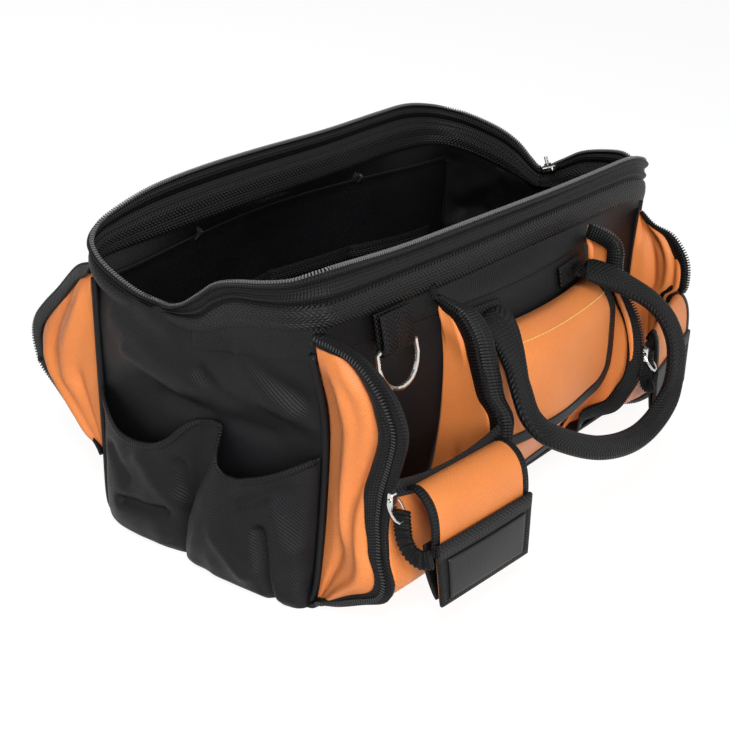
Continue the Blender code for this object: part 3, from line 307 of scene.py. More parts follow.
# Base: a flat panel of the black cloth, nearly square at its corners, with a stiff fibre board laid over
# it inside. The board shows as its solid.
HALF_LENGTH, HALF_DEPTH, BASE_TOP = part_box("base_panel")[1]
CORNER_POWER = 0.03
BASE_RINGS = (
    (0.0, 0.0), (0.5, 0.0), (0.97, 0.0), (0.996, 0.0003), (1.004, 0.0016), (1.004, 0.0036),
    (0.992, 0.0042), (0.975, BASE_TOP), (0.5, BASE_TOP), (0.0, BASE_TOP),
)
BOARD_DARK, BOARD_PALE = (0.012, 0.012, 0.012), (0.035, 0.034, 0.033)


def joined(*parts):
    """Points, or other rows of values, from arrays of their parts."""
    return np.stack(np.broadcast_arrays(*parts), axis=-1)


def spread(low, high, count):
    """count + 1 even places from low to high."""
    return np.linspace(low, high, count + 1)


def lengths_along(places):
    """Distance walked along places, from zero."""
    steps = np.linalg.norm(np.diff(places, axis=0), axis=-1)
    return np.concatenate((np.zeros((1, *steps.shape[1:])), np.cumsum(steps, axis=0)))


def surface(name, grid, look, flip=False, around=False, cut=None):
    """A sheet of quads over a grid of points, rows by columns. Its map is the distance walked along the
    cloth in metres, across the columns and along the rows. A grid that closes round has around set."""
    grid = np.asarray(grid, float)
    if around:
        grid = np.concatenate((grid, grid[:, :1]), axis=1)
    rows, columns = grid.shape[:2]
    if cut is None:
        run = lengths_along(np.moveaxis(grid, 1, 0)).mean(axis=1)
        cut = joined(run[None, :], lengths_along(grid).mean(axis=1)[:, None])
    index = np.arange(rows * columns).reshape(rows, columns)
    corners = joined(index[:-1, :-1], index[:-1, 1:], index[1:, 1:], index[1:, :-1]).reshape(-1, 4)
    if flip:
        corners = corners[:, ::-1]
    shared = index.copy()
    if around:
        shared[:, -1] = shared[:, 0]
    used, packed = np.unique(shared.ravel()[corners], return_inverse=True)
    faces = packed.reshape(corners.shape).tolist()
    made = mesh_object(name, grid.reshape(-1, 3)[used].tolist(), faces, look)
    layer = made.data.uv_layers.new(name="cut")
    layer.data.foreach_set("uv", cut.reshape(-1, 2)[corners.ravel()].ravel())
    made.data.polygons.foreach_set("use_smooth", np.ones(len(faces), bool))
    return made


def finish(piece, body, slot, *stands_for):
    """A finished piece rides on its body and stands for its solids. Its slot is not used."""
    if body:
        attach(piece, body)
    if stands_for:
        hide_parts(*stands_for)
    return piece


def dress(node, look):
    """Gives its material to a solid that shows as it is."""
    NODES[node].data.materials.clear()
    NODES[node].data.materials.append(look)


def board_look():
    """Dull black fibre board with a fine grain."""
    look, tree, shader = shader_of("fibre_board", 0.6)
    grain = group_in(tree, NAP, Fluff=400.0)
    blend_colours(tree, shader, BOARD_DARK, BOARD_PALE, grain.outputs["Tone"])
    return look


turns = spread(0, math.tau, 96)[:-1]
across = np.abs(np.cos(turns)) ** CORNER_POWER * np.sign(np.cos(turns))
along = np.abs(np.sin(turns)) ** CORNER_POWER * np.sign(np.sin(turns))
grid = np.array([joined(across * HALF_LENGTH * share, along * HALF_DEPTH * share, height)
                 for share, height in BASE_RINGS])
base = surface("base_cloth", grid, BLACK_CLOTH, around=True, flip=True)
finish(base, "bag", "black_cloth", "base_panel")
dress("base_board", board_look())


# Long walls: the black cloth body between the end panels. It swells outwards in the middle, because it
# has the slack that closes the mouth, and it is a little rumpled where nothing stretches it.
SIDES = ((-1, "front"), (1, "back"))
CLOTH = 0.0012
WALL_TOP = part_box("front_wall")[1][2]
WALL_END = 0.2035
WALL_FOOT, WALL_RIM = 0.0032, 0.1865
WALL_INSET = 0.0008
WALL_BULGE = 0.032
WALL_SWELL = ((0, 0), (0.1, 0.2), (0.25, 0.48), (0.45, 0.8), (0.6, 0.95), (0.8, 1.0), (0.92, 0.92),
              (1.0, 0.76))
WALL_RUMPLE = 0.0009
TUCK_START, TUCK_RISE, TUCK_DEPTH = 0.0005, 0.003, 0.0020
BOW_START = 0.150
CORNER_BOW = ((0.0, 0.002), (0.005, 0.003), (0.032, 0.008), (0.067, 0.012), (0.110, 0.015), (0.136, 0.015),
              (0.159, 0.010), (0.179, 0.002), (0.200, 0.0))
SKIRT_FOOT = 0.164
FRAME_SLOPE = 0.167


def clamped(values):
    """Values held between 0 and 1."""
    return np.clip(values, 0, 1)


def eased(share):
    """A share from 0 to 1 that starts and ends gently."""
    return share * share * (3 - 2 * share)


def smoothed(table, places, step):
    """Values between the rows of a table, averaged over five places a step apart."""
    keys, values = zip(*table)
    return sum(np.interp(places + k * step, keys, values) for k in (-2, -1, 0, 1, 2)) / 5


def soft_noise(places, size, seed=0.0):
    """Smooth random waves from -1 to 1: hashed values on a lattice of the given size, eased between."""
    cells = np.asarray(places, float) / size
    corner = np.floor(cells)
    part = eased(cells - corner)
    total = 0.0
    for step in np.ndindex(2, 2, 2):
        x, y, z = np.moveaxis(corner + step, -1, 0)
        hashed = np.sin(x * 127.1 + y * 311.7 + z * 74.7 + seed * 53.3) * 43758.5453
        total = total + np.prod(np.where(step, part, 1 - part), axis=-1) * (hashed - np.floor(hashed))
    return total * 2 - 1


def wall_place(x, z):
    """The distance of a long wall's outer face from the middle of the bag. It bulges by the square of a
    parabola along it and by a smoothed curve up it, and falls back quickly above its top."""
    height = np.clip(np.asarray(z) / WALL_TOP, 0, 1.15)
    above = WALL_SWELL[-1][1] - (height - 1) * 2.2
    rise = np.where(height > 1, above, smoothed(WALL_SWELL, height, 0.03))
    bulge = WALL_BULGE * clamped(1 - (np.asarray(x) / HALF_LENGTH) ** 2) ** 2 * clamped(rise)
    return HALF_DEPTH - WALL_INSET + bulge


def foot_height(reach):
    """The height of the skirt's foot, which rises with the frame by its reach from the middle."""
    return SKIRT_FOOT + FRAME_SLOPE * reach


def corner_bow(z):
    """How far the front corner of the left end panel is drawn in along the bag, by height."""
    return smoothed(CORNER_BOW, z, 0.006)


def thicken(piece, thickness, offset):
    """Gives a sheet its thickness: inwards from its outer face at offset -1, to both sides at 0."""
    shell = piece.modifiers.new("thickness", "SOLIDIFY")
    shell.thickness = thickness
    shell.offset = offset
    return piece


def sheet(name, grid, look, thickness, body, slot, *stands_for, offset=0.0, flip=False, cut=None):
    """A sheet of cloth or webbing over a grid of points, finished on its body."""
    piece = thicken(surface(name, grid, look, flip=flip, cut=cut), thickness, offset)
    return finish(piece, body, slot, *stands_for)


for side, name in SIDES:
    x, z = np.meshgrid(spread(-WALL_END, WALL_END, 120), spread(WALL_FOOT, WALL_RIM, 60))
    y = side * wall_place(x, z)
    rumple = (soft_noise(joined(x, y, z), 0.034, side) - 1) * WALL_RUMPLE
    tucked = clamped((z - foot_height(np.abs(y)) - TUCK_START) / TUCK_RISE) * TUCK_DEPTH
    drawn_in = corner_bow(z) * clamped((-x - BOW_START) / (WALL_END - BOW_START)) ** 2 * (side < 0)
    sheet(f"{name}_wall_cloth", joined(x + drawn_in, y + side * (rumple - tucked), z), BLACK_CLOTH, CLOTH,
          "bag", "black_cloth", f"{name}_wall", offset=-1.0, flip=side > 0)


# End panels: black cloth, sewn to the walls with piping, slack in the middle so that it folds. The upper
# edge rises to the hinge of the mouth frame, behind the hem.
ENDS = ((-1, "left"), (1, "right"))
END_X = 0.2040
END_HALF = 0.0975
END_FOOT = 0.0034
END_FOLDS = (
    (0.075, 0.165, -0.005, 0.136, 0.011, 0.0042), (-0.020, 0.178, -0.085, 0.150, 0.009, -0.0045),
    (0.060, 0.146, 0.010, 0.131, 0.007, 0.0040), (-0.010, 0.150, -0.030, 0.135, 0.006, -0.0040),
    (-0.040, 0.168, -0.080, 0.140, 0.007, 0.0045), (0.020, 0.172, 0.060, 0.185, 0.010, 0.0040),
    (-0.060, 0.142, -0.092, 0.128, 0.006, 0.0035), (0.030, 0.118, -0.060, 0.116, 0.007, -0.0030),
)
END_SWELL = (
    (0.0, 0.0), (0.03, 0.0015), (0.10, 0.0020), (0.122, 0.0020), (0.138, 0.0105), (0.152, 0.0110),
    (0.168, 0.0075), (0.185, 0.0050), (0.21, 0.0045),
)
END_RISE = 0.013
HINGE_RISE, HINGE_REACH = 0.012, 0.035
RIGHT_FOLD_SHARE, RIGHT_BOW_SHARE = 0.7, 0.5


def folds(a, b, rows):
    """Soft creases: each row raises a ridge of its depth and width along a line from (a, b) to (a, b)."""
    total = np.zeros(np.broadcast(a, b).shape)
    for a0, b0, a1, b1, width, depth in rows:
        da, db = a1 - a0, b1 - b0
        share = clamped(((a - a0) * da + (b - b0) * db) / (da * da + db * db))
        away = np.hypot(a - a0 - share * da, b - b0 - share * db)
        total = total + depth * np.exp(-((away / width) ** 2))
    return total


def end_place(end, y, z):
    """The X of an end panel's outer face: slack folds over a gentle swell, drawn in at the front corner."""
    across = y / HALF_DEPTH
    slack = clamped((1 - across ** 2) * 3)
    front = clamped((0.02 - y) / (HALF_DEPTH + 0.02)) ** 2
    fold_share, bow_share = (1, 1) if end < 0 else (RIGHT_FOLD_SHARE, RIGHT_BOW_SHARE)
    out = smoothed(END_SWELL, z + 0.006 * across, 0.003) * clamped(1 - across ** 4)
    out = out + folds(-end * y, z, END_FOLDS) * fold_share * slack - corner_bow(z) * bow_share * front
    return end * (END_X + out)


for end, name in ENDS:
    y, share = np.meshgrid(spread(-END_HALF, END_HALF, 90), spread(0, 1, 80))
    reach = np.abs(y)
    top = foot_height(reach) + END_RISE + HINGE_RISE * clamped(1 - reach / HINGE_REACH) ** 0.6
    z = END_FOOT + (top - END_FOOT) * share
    x = end_place(end, y, z)
    x = x + end * soft_noise(joined(x, y, z), 0.02, 3 * end) * 0.0007
    sheet(f"{name}_end_cloth", joined(x, y, z), BLACK_CLOTH, CLOTH, "bag", "black_cloth",
          f"{name}_end_panel", offset=-1.0, flip=end < 0)


# Piping: a round cord covered in black cloth, sewn into the seam between each end panel and the walls
# and base.
PIPING = 0.0026
PIPING_OUT = 0.0012
PIPING_PATH = (
    (-0.0985, 0.186), (-0.0985, 0.14), (-0.0985, 0.10), (-0.0985, 0.05), (-0.0985, 0.016),
    (-0.0935, 0.0045), (-0.08, 0.0028), (0.0, 0.0028), (0.08, 0.0028), (0.0935, 0.0045),
    (0.0985, 0.016), (0.0985, 0.06), (0.0985, 0.12), (0.0985, 0.186),
)


def route_through(rows, spacing, before=None, after=None):
    """A Catmull-Rom curve through rows of values, cut at even distances over their first three. It aims
    at the rows before and after it, where they are given."""
    p = np.array(rows, float)
    first = 2 * p[:1] - p[1:2] if before is None else np.array([before], float)
    last = 2 * p[-1:] - p[-2:-1] if after is None else np.array([after], float)
    p = np.concatenate((first, p, last))
    t = np.linspace(0, 1, 24, endpoint=False)[:, None]
    pieces = [
        0.5 * (2 * b + (c - a) * t + (2 * a - 5 * b + 4 * c - d) * t ** 2 + (3 * b - a - 3 * c + d) * t ** 3)
        for a, b, c, d in zip(p, p[1:], p[2:], p[3:])
    ]
    line = np.concatenate(pieces + [p[-2:-1]])
    run = lengths_along(line[:, :3])
    even = np.linspace(0, run[-1], max(2, round(run[-1] / spacing)) + 1)
    return joined(*[np.interp(even, run, values) for values in line.T])


def unit(vectors):
    """Vectors of length one."""
    return vectors / np.maximum(np.linalg.norm(vectors, axis=-1, keepdims=True), 1e-9)


def tangents(line):
    """The direction of a line at each of its places."""
    return unit(np.gradient(line, axis=0))


def square_to(tangent, vectors):
    """Unit vectors square to a tangent, as near as can be to the given ones."""
    return unit(vectors - tangent * np.sum(vectors * tangent, axis=-1, keepdims=True))


def closed_skin(name, grid, look):
    """A tube over rings of points, its ends drawn shut, facing outwards. Its map runs along the tube
    first and round it second."""
    ends = [np.repeat(ring.mean(axis=0)[None], len(ring), axis=0)[None] for ring in (grid[0], grid[-1])]
    grid = np.concatenate((ends[0], grid, ends[1]))
    round_it = np.concatenate((grid, grid[:, :1]), axis=1)
    turn = lengths_along(np.moveaxis(round_it, 1, 0)).mean(axis=1)
    cut = joined(lengths_along(round_it).mean(axis=1)[:, None], turn[None, :])
    a, b, c = round_it[:-1, :-1], round_it[1:, :-1], round_it[:-1, 1:]
    inside_out = np.sum((a - grid.mean(axis=(0, 1))) * np.cross(c - a, b - a)) < 0
    made = surface(name, grid, look, around=True, flip=bool(inside_out), cut=cut)
    shape = bmesh.new()
    shape.from_mesh(made.data)
    bmesh.ops.remove_doubles(shape, verts=shape.verts, dist=1e-6)
    shape.to_mesh(made.data)
    shape.free()
    return made


def swept(name, centre, across, normal, section, look):
    """A closed section of (across, normal) points carried along a line, with caps. The section may be one
    outline or one for each place."""
    section = np.asarray(section, float)
    if section.ndim == 2:
        section = np.broadcast_to(section, (len(centre), *section.shape))
    grid = centre[:, None] + across[:, None] * section[..., :1] + normal[:, None] * section[..., 1:]
    return closed_skin(name, grid, look)


def disc(radius, count):
    """A round section."""
    angles = spread(0, math.tau, count)[:-1]
    return joined(np.cos(angles), np.sin(angles)) * radius


def tube(name, line, radius, look):
    """A round cord along a line. Its section is carried from place to place without a twist."""
    tangent = tangents(line)
    side_way = np.zeros_like(line)
    across = unit(np.cross(tangent[0], (0.3, 0.2, 0.93)))
    for k, ahead in enumerate(tangent):
        across = square_to(ahead, across)
        side_way[k] = across
    return swept(name, line, side_way, np.cross(tangent, side_way), disc(radius, 10), look)


for end, name in ENDS:
    path = [(float(end_place(end, np.array(y * 0.985), np.array(z))) + end * PIPING_OUT, y, z)
            for y, z in PIPING_PATH]
    piping = tube(f"{name}_piping", route_through(path, 0.004), PIPING, BLACK_CLOTH)
    finish(piping, "bag", "webbing", f"{name}_end_piping")


# End pockets: two slip pockets side by side over each end panel, cut from one piece of cloth with a box
# pleat between them, bulging, gaping at the rim and sagging over their foot.
POCKET_EDGE = 0.0965
POCKET_FOOT = 0.0018
POCKET_RIM = (
    (-0.0975, 0.1105), (-0.085, 0.1030), (-0.070, 0.0945), (-0.055, 0.0885), (-0.041, 0.0845),
    (-0.031, 0.0865), (-0.0255, 0.0940), (-0.0215, 0.1085), (-0.016, 0.1125), (-0.007, 0.1115),
    (0.001, 0.1095), (0.008, 0.1040), (0.017, 0.0945), (0.028, 0.0870), (0.044, 0.0825), (0.060, 0.0825),
    (0.072, 0.0870), (0.082, 0.0960), (0.0975, 0.1060),
)
PLEAT_PATH = ((0.0, 0.0075), (0.0057, 0.0070), (0.027, 0.0050), (0.048, 0.0015), (0.0676, -0.0060),
              (0.0855, -0.0145), (0.095, -0.0190), (0.125, -0.0200))
PLEAT_GAP = 0.019
FRONT_ACROSS = ((0.0, 0.0), (0.04, 0.40), (0.12, 0.75), (0.35, 1.0), (0.75, 1.05), (0.90, 0.92),
                (0.97, 0.55), (1.0, 0.10))
BACK_ACROSS = ((0.0, 0.10), (0.07, 0.45), (0.22, 0.85), (0.5, 1.0), (0.75, 0.92), (0.90, 0.55), (1.0, 0.0))
BULGE_UP = ((0.0, 0.62), (0.04, 0.86), (0.12, 1.02), (0.35, 1.10), (0.6, 1.0), (0.85, 0.88), (1.0, 0.84))
POCKET_FOLDS = (
    (-0.0640, 0.052, -0.0745, 0.004, 0.0040, -0.0085), (0.065, 0.030, 0.024, 0.035, 0.0045, -0.0060),
    (-0.085, 0.045, -0.070, 0.075, 0.007, 0.0030), (0.015, 0.045, 0.045, 0.070, 0.008, 0.0030),
    (0.060, 0.050, 0.078, 0.066, 0.006, -0.0035), (-0.030, 0.040, -0.055, 0.020, 0.007, 0.0035),
    (0.012, 0.075, 0.004, 0.050, 0.005, -0.0035), (-0.080, 0.086, -0.045, 0.066, 0.005, -0.0025),
)
POCKET_DEPTH = 0.0160
POCKET_CLEAR = 0.0014
POCKET_BINDING = (0.0036, 0.0026)
EDGE_LAP = 0.0012


def bound_edge(name, edge, inside, look, size, body="bag", slot="webbing"):
    """A binding of a width and a thickness folded round an edge. It reaches towards the line inside."""
    width, thickness = size
    tangent = tangents(edge)
    inward = square_to(tangent, inside - edge)
    h, r = thickness / 2, thickness * 0.28
    section = ((-EDGE_LAP, -h + r), (-EDGE_LAP, h - r), (-EDGE_LAP + r, h), (width - r, h * 0.9),
               (width, h * 0.55), (width, -h * 0.55), (width - r, -h * 0.9), (-EDGE_LAP + r, -h))
    return finish(swept(name, edge, inward, np.cross(tangent, inward), section, look), body, slot)


def eased_table(table, places):
    """Values between the rows of a table, on the monotone cubic through them."""
    x, v = np.array(table).T
    slopes = np.gradient(v, x)
    k = np.clip(np.searchsorted(x, places) - 1, 0, len(x) - 2)
    width = x[k + 1] - x[k]
    t = clamped((places - x[k]) / width)
    return ((1 + 2 * t) * (1 - t) ** 2 * v[k] + t * (1 - t) ** 2 * width * slopes[k]
            + t * t * (3 - 2 * t) * v[k + 1] + t * t * (t - 1) * width * slopes[k + 1])


def end_pocket(end, y, share):
    """The end pockets' outer face at places across and at shares of the height to the rim."""
    mirrored = -end * y
    z = POCKET_FOOT + (eased_table(POCKET_RIM, mirrored) - POCKET_FOOT) * clamped(share)
    pleat = eased_table(PLEAT_PATH, z)
    gap = PLEAT_GAP * clamped((z - 0.05) / 0.05)
    front = eased_table(FRONT_ACROSS, clamped((mirrored + POCKET_EDGE) / (pleat + POCKET_EDGE)))
    back = eased_table(BACK_ACROSS, clamped((mirrored - pleat - gap) / (POCKET_EDGE - pleat - gap)))
    front = front ** np.interp(z, (0.0, 0.03), (0.45, 1.0))
    across = np.where(mirrored < pleat, front, np.where(mirrored < pleat + gap, 0.10, back))
    under = clamped(1 + share / 0.05) ** 0.5
    low = 1 + 0.22 * clamped(1 - z / 0.07) * (mirrored < pleat)
    depth = POCKET_DEPTH * low * across * eased_table(BULGE_UP, clamped(share)) * under
    creases = POCKET_FOLDS if end < 0 else POCKET_FOLDS[2:]
    depth = depth + folds(mirrored, z, creases) * clamped(depth / 0.008)
    x = end_place(end, y, z) + end * (POCKET_CLEAR + depth)
    return joined(x + end * soft_noise(joined(x, y, z), 0.013, 5 * end) * 0.0007, y, z)


for end, name in ENDS:
    shares = np.concatenate((spread(-0.05, -0.005, 6), spread(0, 1, 60)))
    grid = end_pocket(end, *np.meshgrid(spread(-POCKET_EDGE, POCKET_EDGE, 170), shares))
    sheet(f"{name}_pockets", grid, BLACK_CLOTH, CLOTH, "bag", "black_cloth", f"{name}_end_pocket_front",
          f"{name}_end_pocket_back", offset=-1.0, flip=end < 0)
    bound_edge(f"{name}_end_rim", grid[-1, 2:-2], grid[-3, 2:-2], RIBBED_TAPE, POCKET_BINDING,
               slot="black_cloth")


# Zip coils: the shiny nylon teeth of a zip's half, small blocks that stand across its line. A dark coil runs
# along each gusset and a lighter grey one round the mouth; that lighter grey stands partly for the glints on
# its teeth, a painted highlight.
COIL_PITCH = 0.0021
TOOTH = (0.0010, 0.0030, 0.0020)
BLOCK_FACES = ((2, 3, 1, 0), (5, 7, 6, 4), (1, 5, 4, 0), (6, 7, 3, 2), (4, 6, 2, 0), (3, 7, 5, 1))
COIL = shader_of("dark_coil", 0.25, colour=(0.020, 0.020, 0.0206))[0]
# The mouth coil's grey is lighter than the dark nylon: partly its own grey, partly a painted highlight for
# the glints on its teeth.
GLINT_PAINTED_COIL = shader_of("glint_painted_coil", 0.25, colour=(0.11, 0.11, 0.1133))[0]


def blocks_along(name, line, up, look, size, pitch, start, margin=0.0, lift=0.0):
    """Small blocks along a line, a pitch apart from its start and up to a margin before its end, lifted
    from it along up."""
    run = lengths_along(line)
    places = np.arange(start, run[-1] - margin, pitch)
    centre, ahead, up = (joined(*[np.interp(places, run, values) for values in rows.T])
                         for rows in (line, tangents(line), np.broadcast_to(up, line.shape)))
    ahead = unit(ahead)
    up = square_to(ahead, unit(up))
    across = np.cross(ahead, up)
    corner = (np.array(list(np.ndindex(2, 2, 2))) - 0.5) * size
    solid = ((centre + up * lift)[:, None] + ahead[:, None] * corner[None, :, :1]
             + across[:, None] * corner[None, :, 1:2] + up[:, None] * corner[None, :, 2:])
    faces = np.array(BLOCK_FACES)[None] + 8 * np.arange(len(centre))[:, None, None]
    return mesh_object(name, solid.reshape(-1, 3).tolist(), faces.reshape(-1, 4).tolist(), look)


# Bellows pockets: two orange gussets that stand out from the wall, bound in black along their free edges,
# and an orange front panel between them with a bound rim. The front right pocket's outer gusset is folded
# in, and the back pockets are sewn on higher up.
SEAM_REACH = 0.1005
OUTER_X, INNER_X = 0.2000, 0.0945
PANEL_OUTER_X, PANEL_INNER_X = 0.1990, 0.0955
INNER_SWELL = -0.002
LEFT_OUTER = (
    (0.1035, 0.1985), (0.119, 0.1970), (0.1385, 0.1905), (0.1570, 0.1755), (0.1655, 0.161),
    (0.1680, 0.148), (0.1640, 0.129), (0.1580, 0.106), (0.1550, 0.082), (0.1570, 0.061),
    (0.1620, 0.044), (0.1570, 0.0310), (0.1390, 0.0215), (0.119, 0.0112), (0.103, 0.0055),
)
LEFT_INNER = (
    (0.1060, 0.1940), (0.1190, 0.1900), (0.1315, 0.1860), (0.1415, 0.1745), (0.1460, 0.1620),
    (0.1505, 0.1480), (0.1555, 0.1340), (0.1645, 0.1240), (0.1670, 0.1120), (0.1670, 0.1000),
    (0.1665, 0.083), (0.1660, 0.065), (0.1640, 0.047), (0.155, 0.0345), (0.137, 0.0225),
    (0.120, 0.012), (0.104, 0.0055),
)
RIGHT_OUTER = (
    (0.1030, 0.178), (0.115, 0.1690), (0.133, 0.1630), (0.147, 0.1450), (0.148, 0.122),
    (0.138, 0.113), (0.137, 0.095), (0.138, 0.070), (0.142, 0.050), (0.140, 0.035),
    (0.128, 0.022), (0.116, 0.012), (0.102, 0.0055),
)
RIGHT_INNER = (
    (0.1150, 0.1960), (0.1290, 0.1930), (0.1390, 0.1880), (0.1425, 0.1790), (0.1425, 0.1690),
    (0.1460, 0.1560), (0.1550, 0.1430), (0.1620, 0.1310), (0.1665, 0.1168), (0.1680, 0.1010),
    (0.1665, 0.0860), (0.1600, 0.0705), (0.1505, 0.0540), (0.1360, 0.0440), (0.1200, 0.0340),
    (0.1060, 0.0250),
)
BACK_OUTER = (
    (0.1000, 0.192), (0.110, 0.190), (0.123, 0.184), (0.144, 0.163), (0.160, 0.148),
    (0.172, 0.134), (0.1765, 0.119), (0.172, 0.100), (0.163, 0.090), (0.153, 0.081),
    (0.140, 0.070), (0.127, 0.060), (0.102, 0.0475),
)
BACK_INNER = (
    (0.108, 0.190), (0.118, 0.176), (0.131, 0.157), (0.140, 0.135), (0.154, 0.118),
    (0.166, 0.108), (0.166, 0.098), (0.157, 0.084), (0.143, 0.071), (0.130, 0.061), (0.112, 0.050),
)
LEFT_PANEL = (
    ((0.1615, 0.1190), (0.1570, 0.102), (0.1550, 0.082), (0.1570, 0.061), (0.1615, 0.045),
     (0.1560, 0.0330), (0.1350, 0.0245), (0.119, 0.0130), (0.1015, 0.0045)),
    ((0.1665, 0.1185), (0.1670, 0.102), (0.1670, 0.083), (0.1665, 0.064), (0.1640, 0.047),
     (0.154, 0.0345), (0.136, 0.0235), (0.119, 0.0130), (0.1035, 0.0045)),
)
RIGHT_PANEL = (
    ((0.1400, 0.1115), (0.1380, 0.100), (0.1375, 0.083), (0.1385, 0.066), (0.1415, 0.050),
     (0.138, 0.036), (0.127, 0.0240), (0.116, 0.0130), (0.1015, 0.0045)),
    ((0.1680, 0.1115), (0.1690, 0.1010), (0.1675, 0.0860), (0.1610, 0.0715), (0.1515, 0.0550),
     (0.1370, 0.0450), (0.1210, 0.0350), (0.1070, 0.0240)),
)
BACK_PANEL = (
    ((0.1750, 0.1110), (0.1715, 0.101), (0.163, 0.091), (0.153, 0.082), (0.140, 0.071),
     (0.127, 0.061), (0.1015, 0.0465)),
    ((0.1660, 0.1110), (0.1660, 0.101), (0.157, 0.086), (0.143, 0.073), (0.130, 0.062), (0.112, 0.0465)),
)
BELLOWS = (
    (-1, -1, "front_left_pocket", LEFT_OUTER, LEFT_INNER, LEFT_PANEL, 0.005, 0.0075),
    (-1, 1, "front_right_pocket", RIGHT_OUTER, RIGHT_INNER, RIGHT_PANEL, 0.005, 0.0050),
    (1, -1, "back_left_pocket", BACK_OUTER, BACK_INNER, BACK_PANEL, 0.0475, 0.0060),
    (1, 1, "back_right_pocket", BACK_OUTER, BACK_INNER, BACK_PANEL, 0.0475, 0.0060),
)
GUSSET_FOLDS = (
    (0.35, 0.25, 0.42, 0.60, 0.085, 0.0050), (0.70, 0.15, 0.62, 0.45, 0.07, -0.0040),
    (0.70, 0.55, 0.60, 0.88, 0.080, 0.0050), (0.30, 0.62, 0.28, 0.92, 0.07, -0.0035),
    (0.85, 0.30, 0.90, 0.62, 0.05, -0.0030), (0.15, 0.10, 0.55, 0.16, 0.06, 0.0025),
)
GUSSET_BINDING, PANEL_BINDING = (0.0095, 0.0032), (0.0125, 0.0030)
TRACK_OUT, WIDE_TRACK_OUT = 0.0022, 0.0024
FLAT_BINDING = 0.0036
WIDE_BAND = 0.0205
BAND_TAPER = ((0.020, 0.55), (0.075, 0.72), (0.110, 0.95), (0.165, 1.0), (0.190, 0.60))
STRIP_SHARE = 0.52
STRIP_REACH = 0.0120
STRIP_THICK = 0.0020
STRIP_WAY = np.array((0.80, -0.60, 0.05)) / 1.001
PANEL_CROWN, PANEL_SAG = 0.004, 0.0065


def between(a, b, share):
    """The value at a share of the way from a to b."""
    return a * (1 - share) + b * share


def edge_at(rows, share):
    """Columns of Y and Z at shares of the way along the smooth curve through rows of them."""
    edge = route_through([(0.0, y, z) for y, z in rows], 0.002)
    run = lengths_along(edge)
    return [np.interp(share * run[-1], run, edge[:, k])[:, None] for k in (1, 2)]


def gusset_grid(side, end, x, rows, base, bulge, creases):
    """A gusset between its seam on the wall and its free edge. It swells sideways by bulge, with creases
    placed by shares of its width and of its height."""
    v = spread(0, 1, 70)
    edge_y, edge_z = edge_at(rows, v)
    seam_z = np.interp(v, (0, 1), (rows[0][1], base))
    if x == OUTER_X:
        bow = corner_bow(seam_z) * (1.0 if end < 0 else RIGHT_BOW_SHARE) * (side < 0)
        seam_x, seam_y = end * (END_X - bow), np.full_like(seam_z, SEAM_REACH)
    else:
        seam_x, seam_y = np.full_like(seam_z, end * x), wall_place(x, np.minimum(seam_z, 0.185)) + 0.0004
    u, v = spread(0, 1, 34)[None, :], v[:, None]
    out = bulge * np.sin(math.pi * u) * np.sin(math.pi * v) ** 0.6
    out = out + folds(u, v, creases) * clamped(u / 0.06) * clamped((1 - u) / 0.06)
    return joined(between(seam_x[:, None], end * x, u) + end * out,
                  side * between(seam_y[:, None], edge_y, u), between(seam_z[:, None], edge_z, u))


def from_edge(row, reaches):
    """Places on one row of a gusset at distances from its free edge. Below 0 they lie beyond the edge."""
    run = lengths_along(row[::-1])
    on_row = joined(*[np.interp(reaches, run, values[::-1]) for values in row.T])
    return on_row + unit(row[-1] - row[-3]) * np.clip(-reaches, 0, None)[:, None]


def wide_binding(name, grid, end, flip):
    """The broad flat band along a gusset's free edge, tapered by height. Gives the line for its coil."""
    reaches = spread(-EDGE_LAP, WIDE_BAND, 12)
    taper = np.interp(grid[:, -1, 2], *zip(*BAND_TAPER))
    band = np.stack([from_edge(row, reaches * share) for row, share in zip(grid, taper)])
    sheet(name, band, RIBBED_TAPE, FLAT_BINDING, "bag", "webbing", flip=flip,
          cut=joined(lengths_along(grid[:, -1])[:, None], reaches[None, :]))
    return band[:, 5] + (end * WIDE_TRACK_OUT, 0, 0)


def zip_strip(name, edge):
    """A strip of zip tape that stands off the upper part of a gusset's edge, tapered to both ends."""
    part = edge[: int(len(edge) * STRIP_SHARE)]
    step = np.arange(len(part))
    taper = clamped(np.minimum(step / 6, (len(part) - 1 - step) / 14))
    reach = spread(-0.001, STRIP_REACH, 10)[:, None, None] * (0.35 + 0.65 * taper[None, :, None])
    sway = np.array((0, -0.0025, 0)) * np.sin(reach / STRIP_REACH * math.pi)
    sheet(name, part[None] + STRIP_WAY * reach + sway, RIBBED_TAPE, STRIP_THICK, "bag", "webbing",
          cut=joined(lengths_along(part)[None, :], reach[..., 0]))


def pocket_panel(side, end, name, outer_rows, inner_rows):
    """The front panel of a bellows pocket, from its rim over its toe to its foot, swollen a little."""
    v = spread(0, 1, 60)
    (outer_y, outer_z), (inner_y, inner_z) = edge_at(outer_rows, v), edge_at(inner_rows, v)
    u, v = spread(0, 1, 60)[None, :], v[:, None]
    dome = np.sin(math.pi * u) ** 0.8
    y = between(outer_y, inner_y, u) + PANEL_CROWN * dome * np.sin(math.pi * clamped(v * 1.15 + 0.1))
    z = between(outer_z, inner_z, u) - PANEL_SAG * dome * clamped(1 - v / 0.35) ** 2
    x = end * between(PANEL_OUTER_X, PANEL_INNER_X, u) + np.zeros_like(y)
    wall = wall_place(x, np.clip(z, 0, 0.18))
    y = between(np.maximum(y, wall + 0.001), wall + 0.0002, clamped((v - 0.90) / 0.10))
    grid = joined(x, side * y, z)
    sheet(f"{name}_panel_cloth", grid, ORANGE_CLOTH, CLOTH, "bag", "orange_cloth", f"{name}_panel",
          flip=side * end < 0)
    bound_edge(f"{name}_rim_binding", grid[0], grid[3], HEM_WEBBING, PANEL_BINDING)


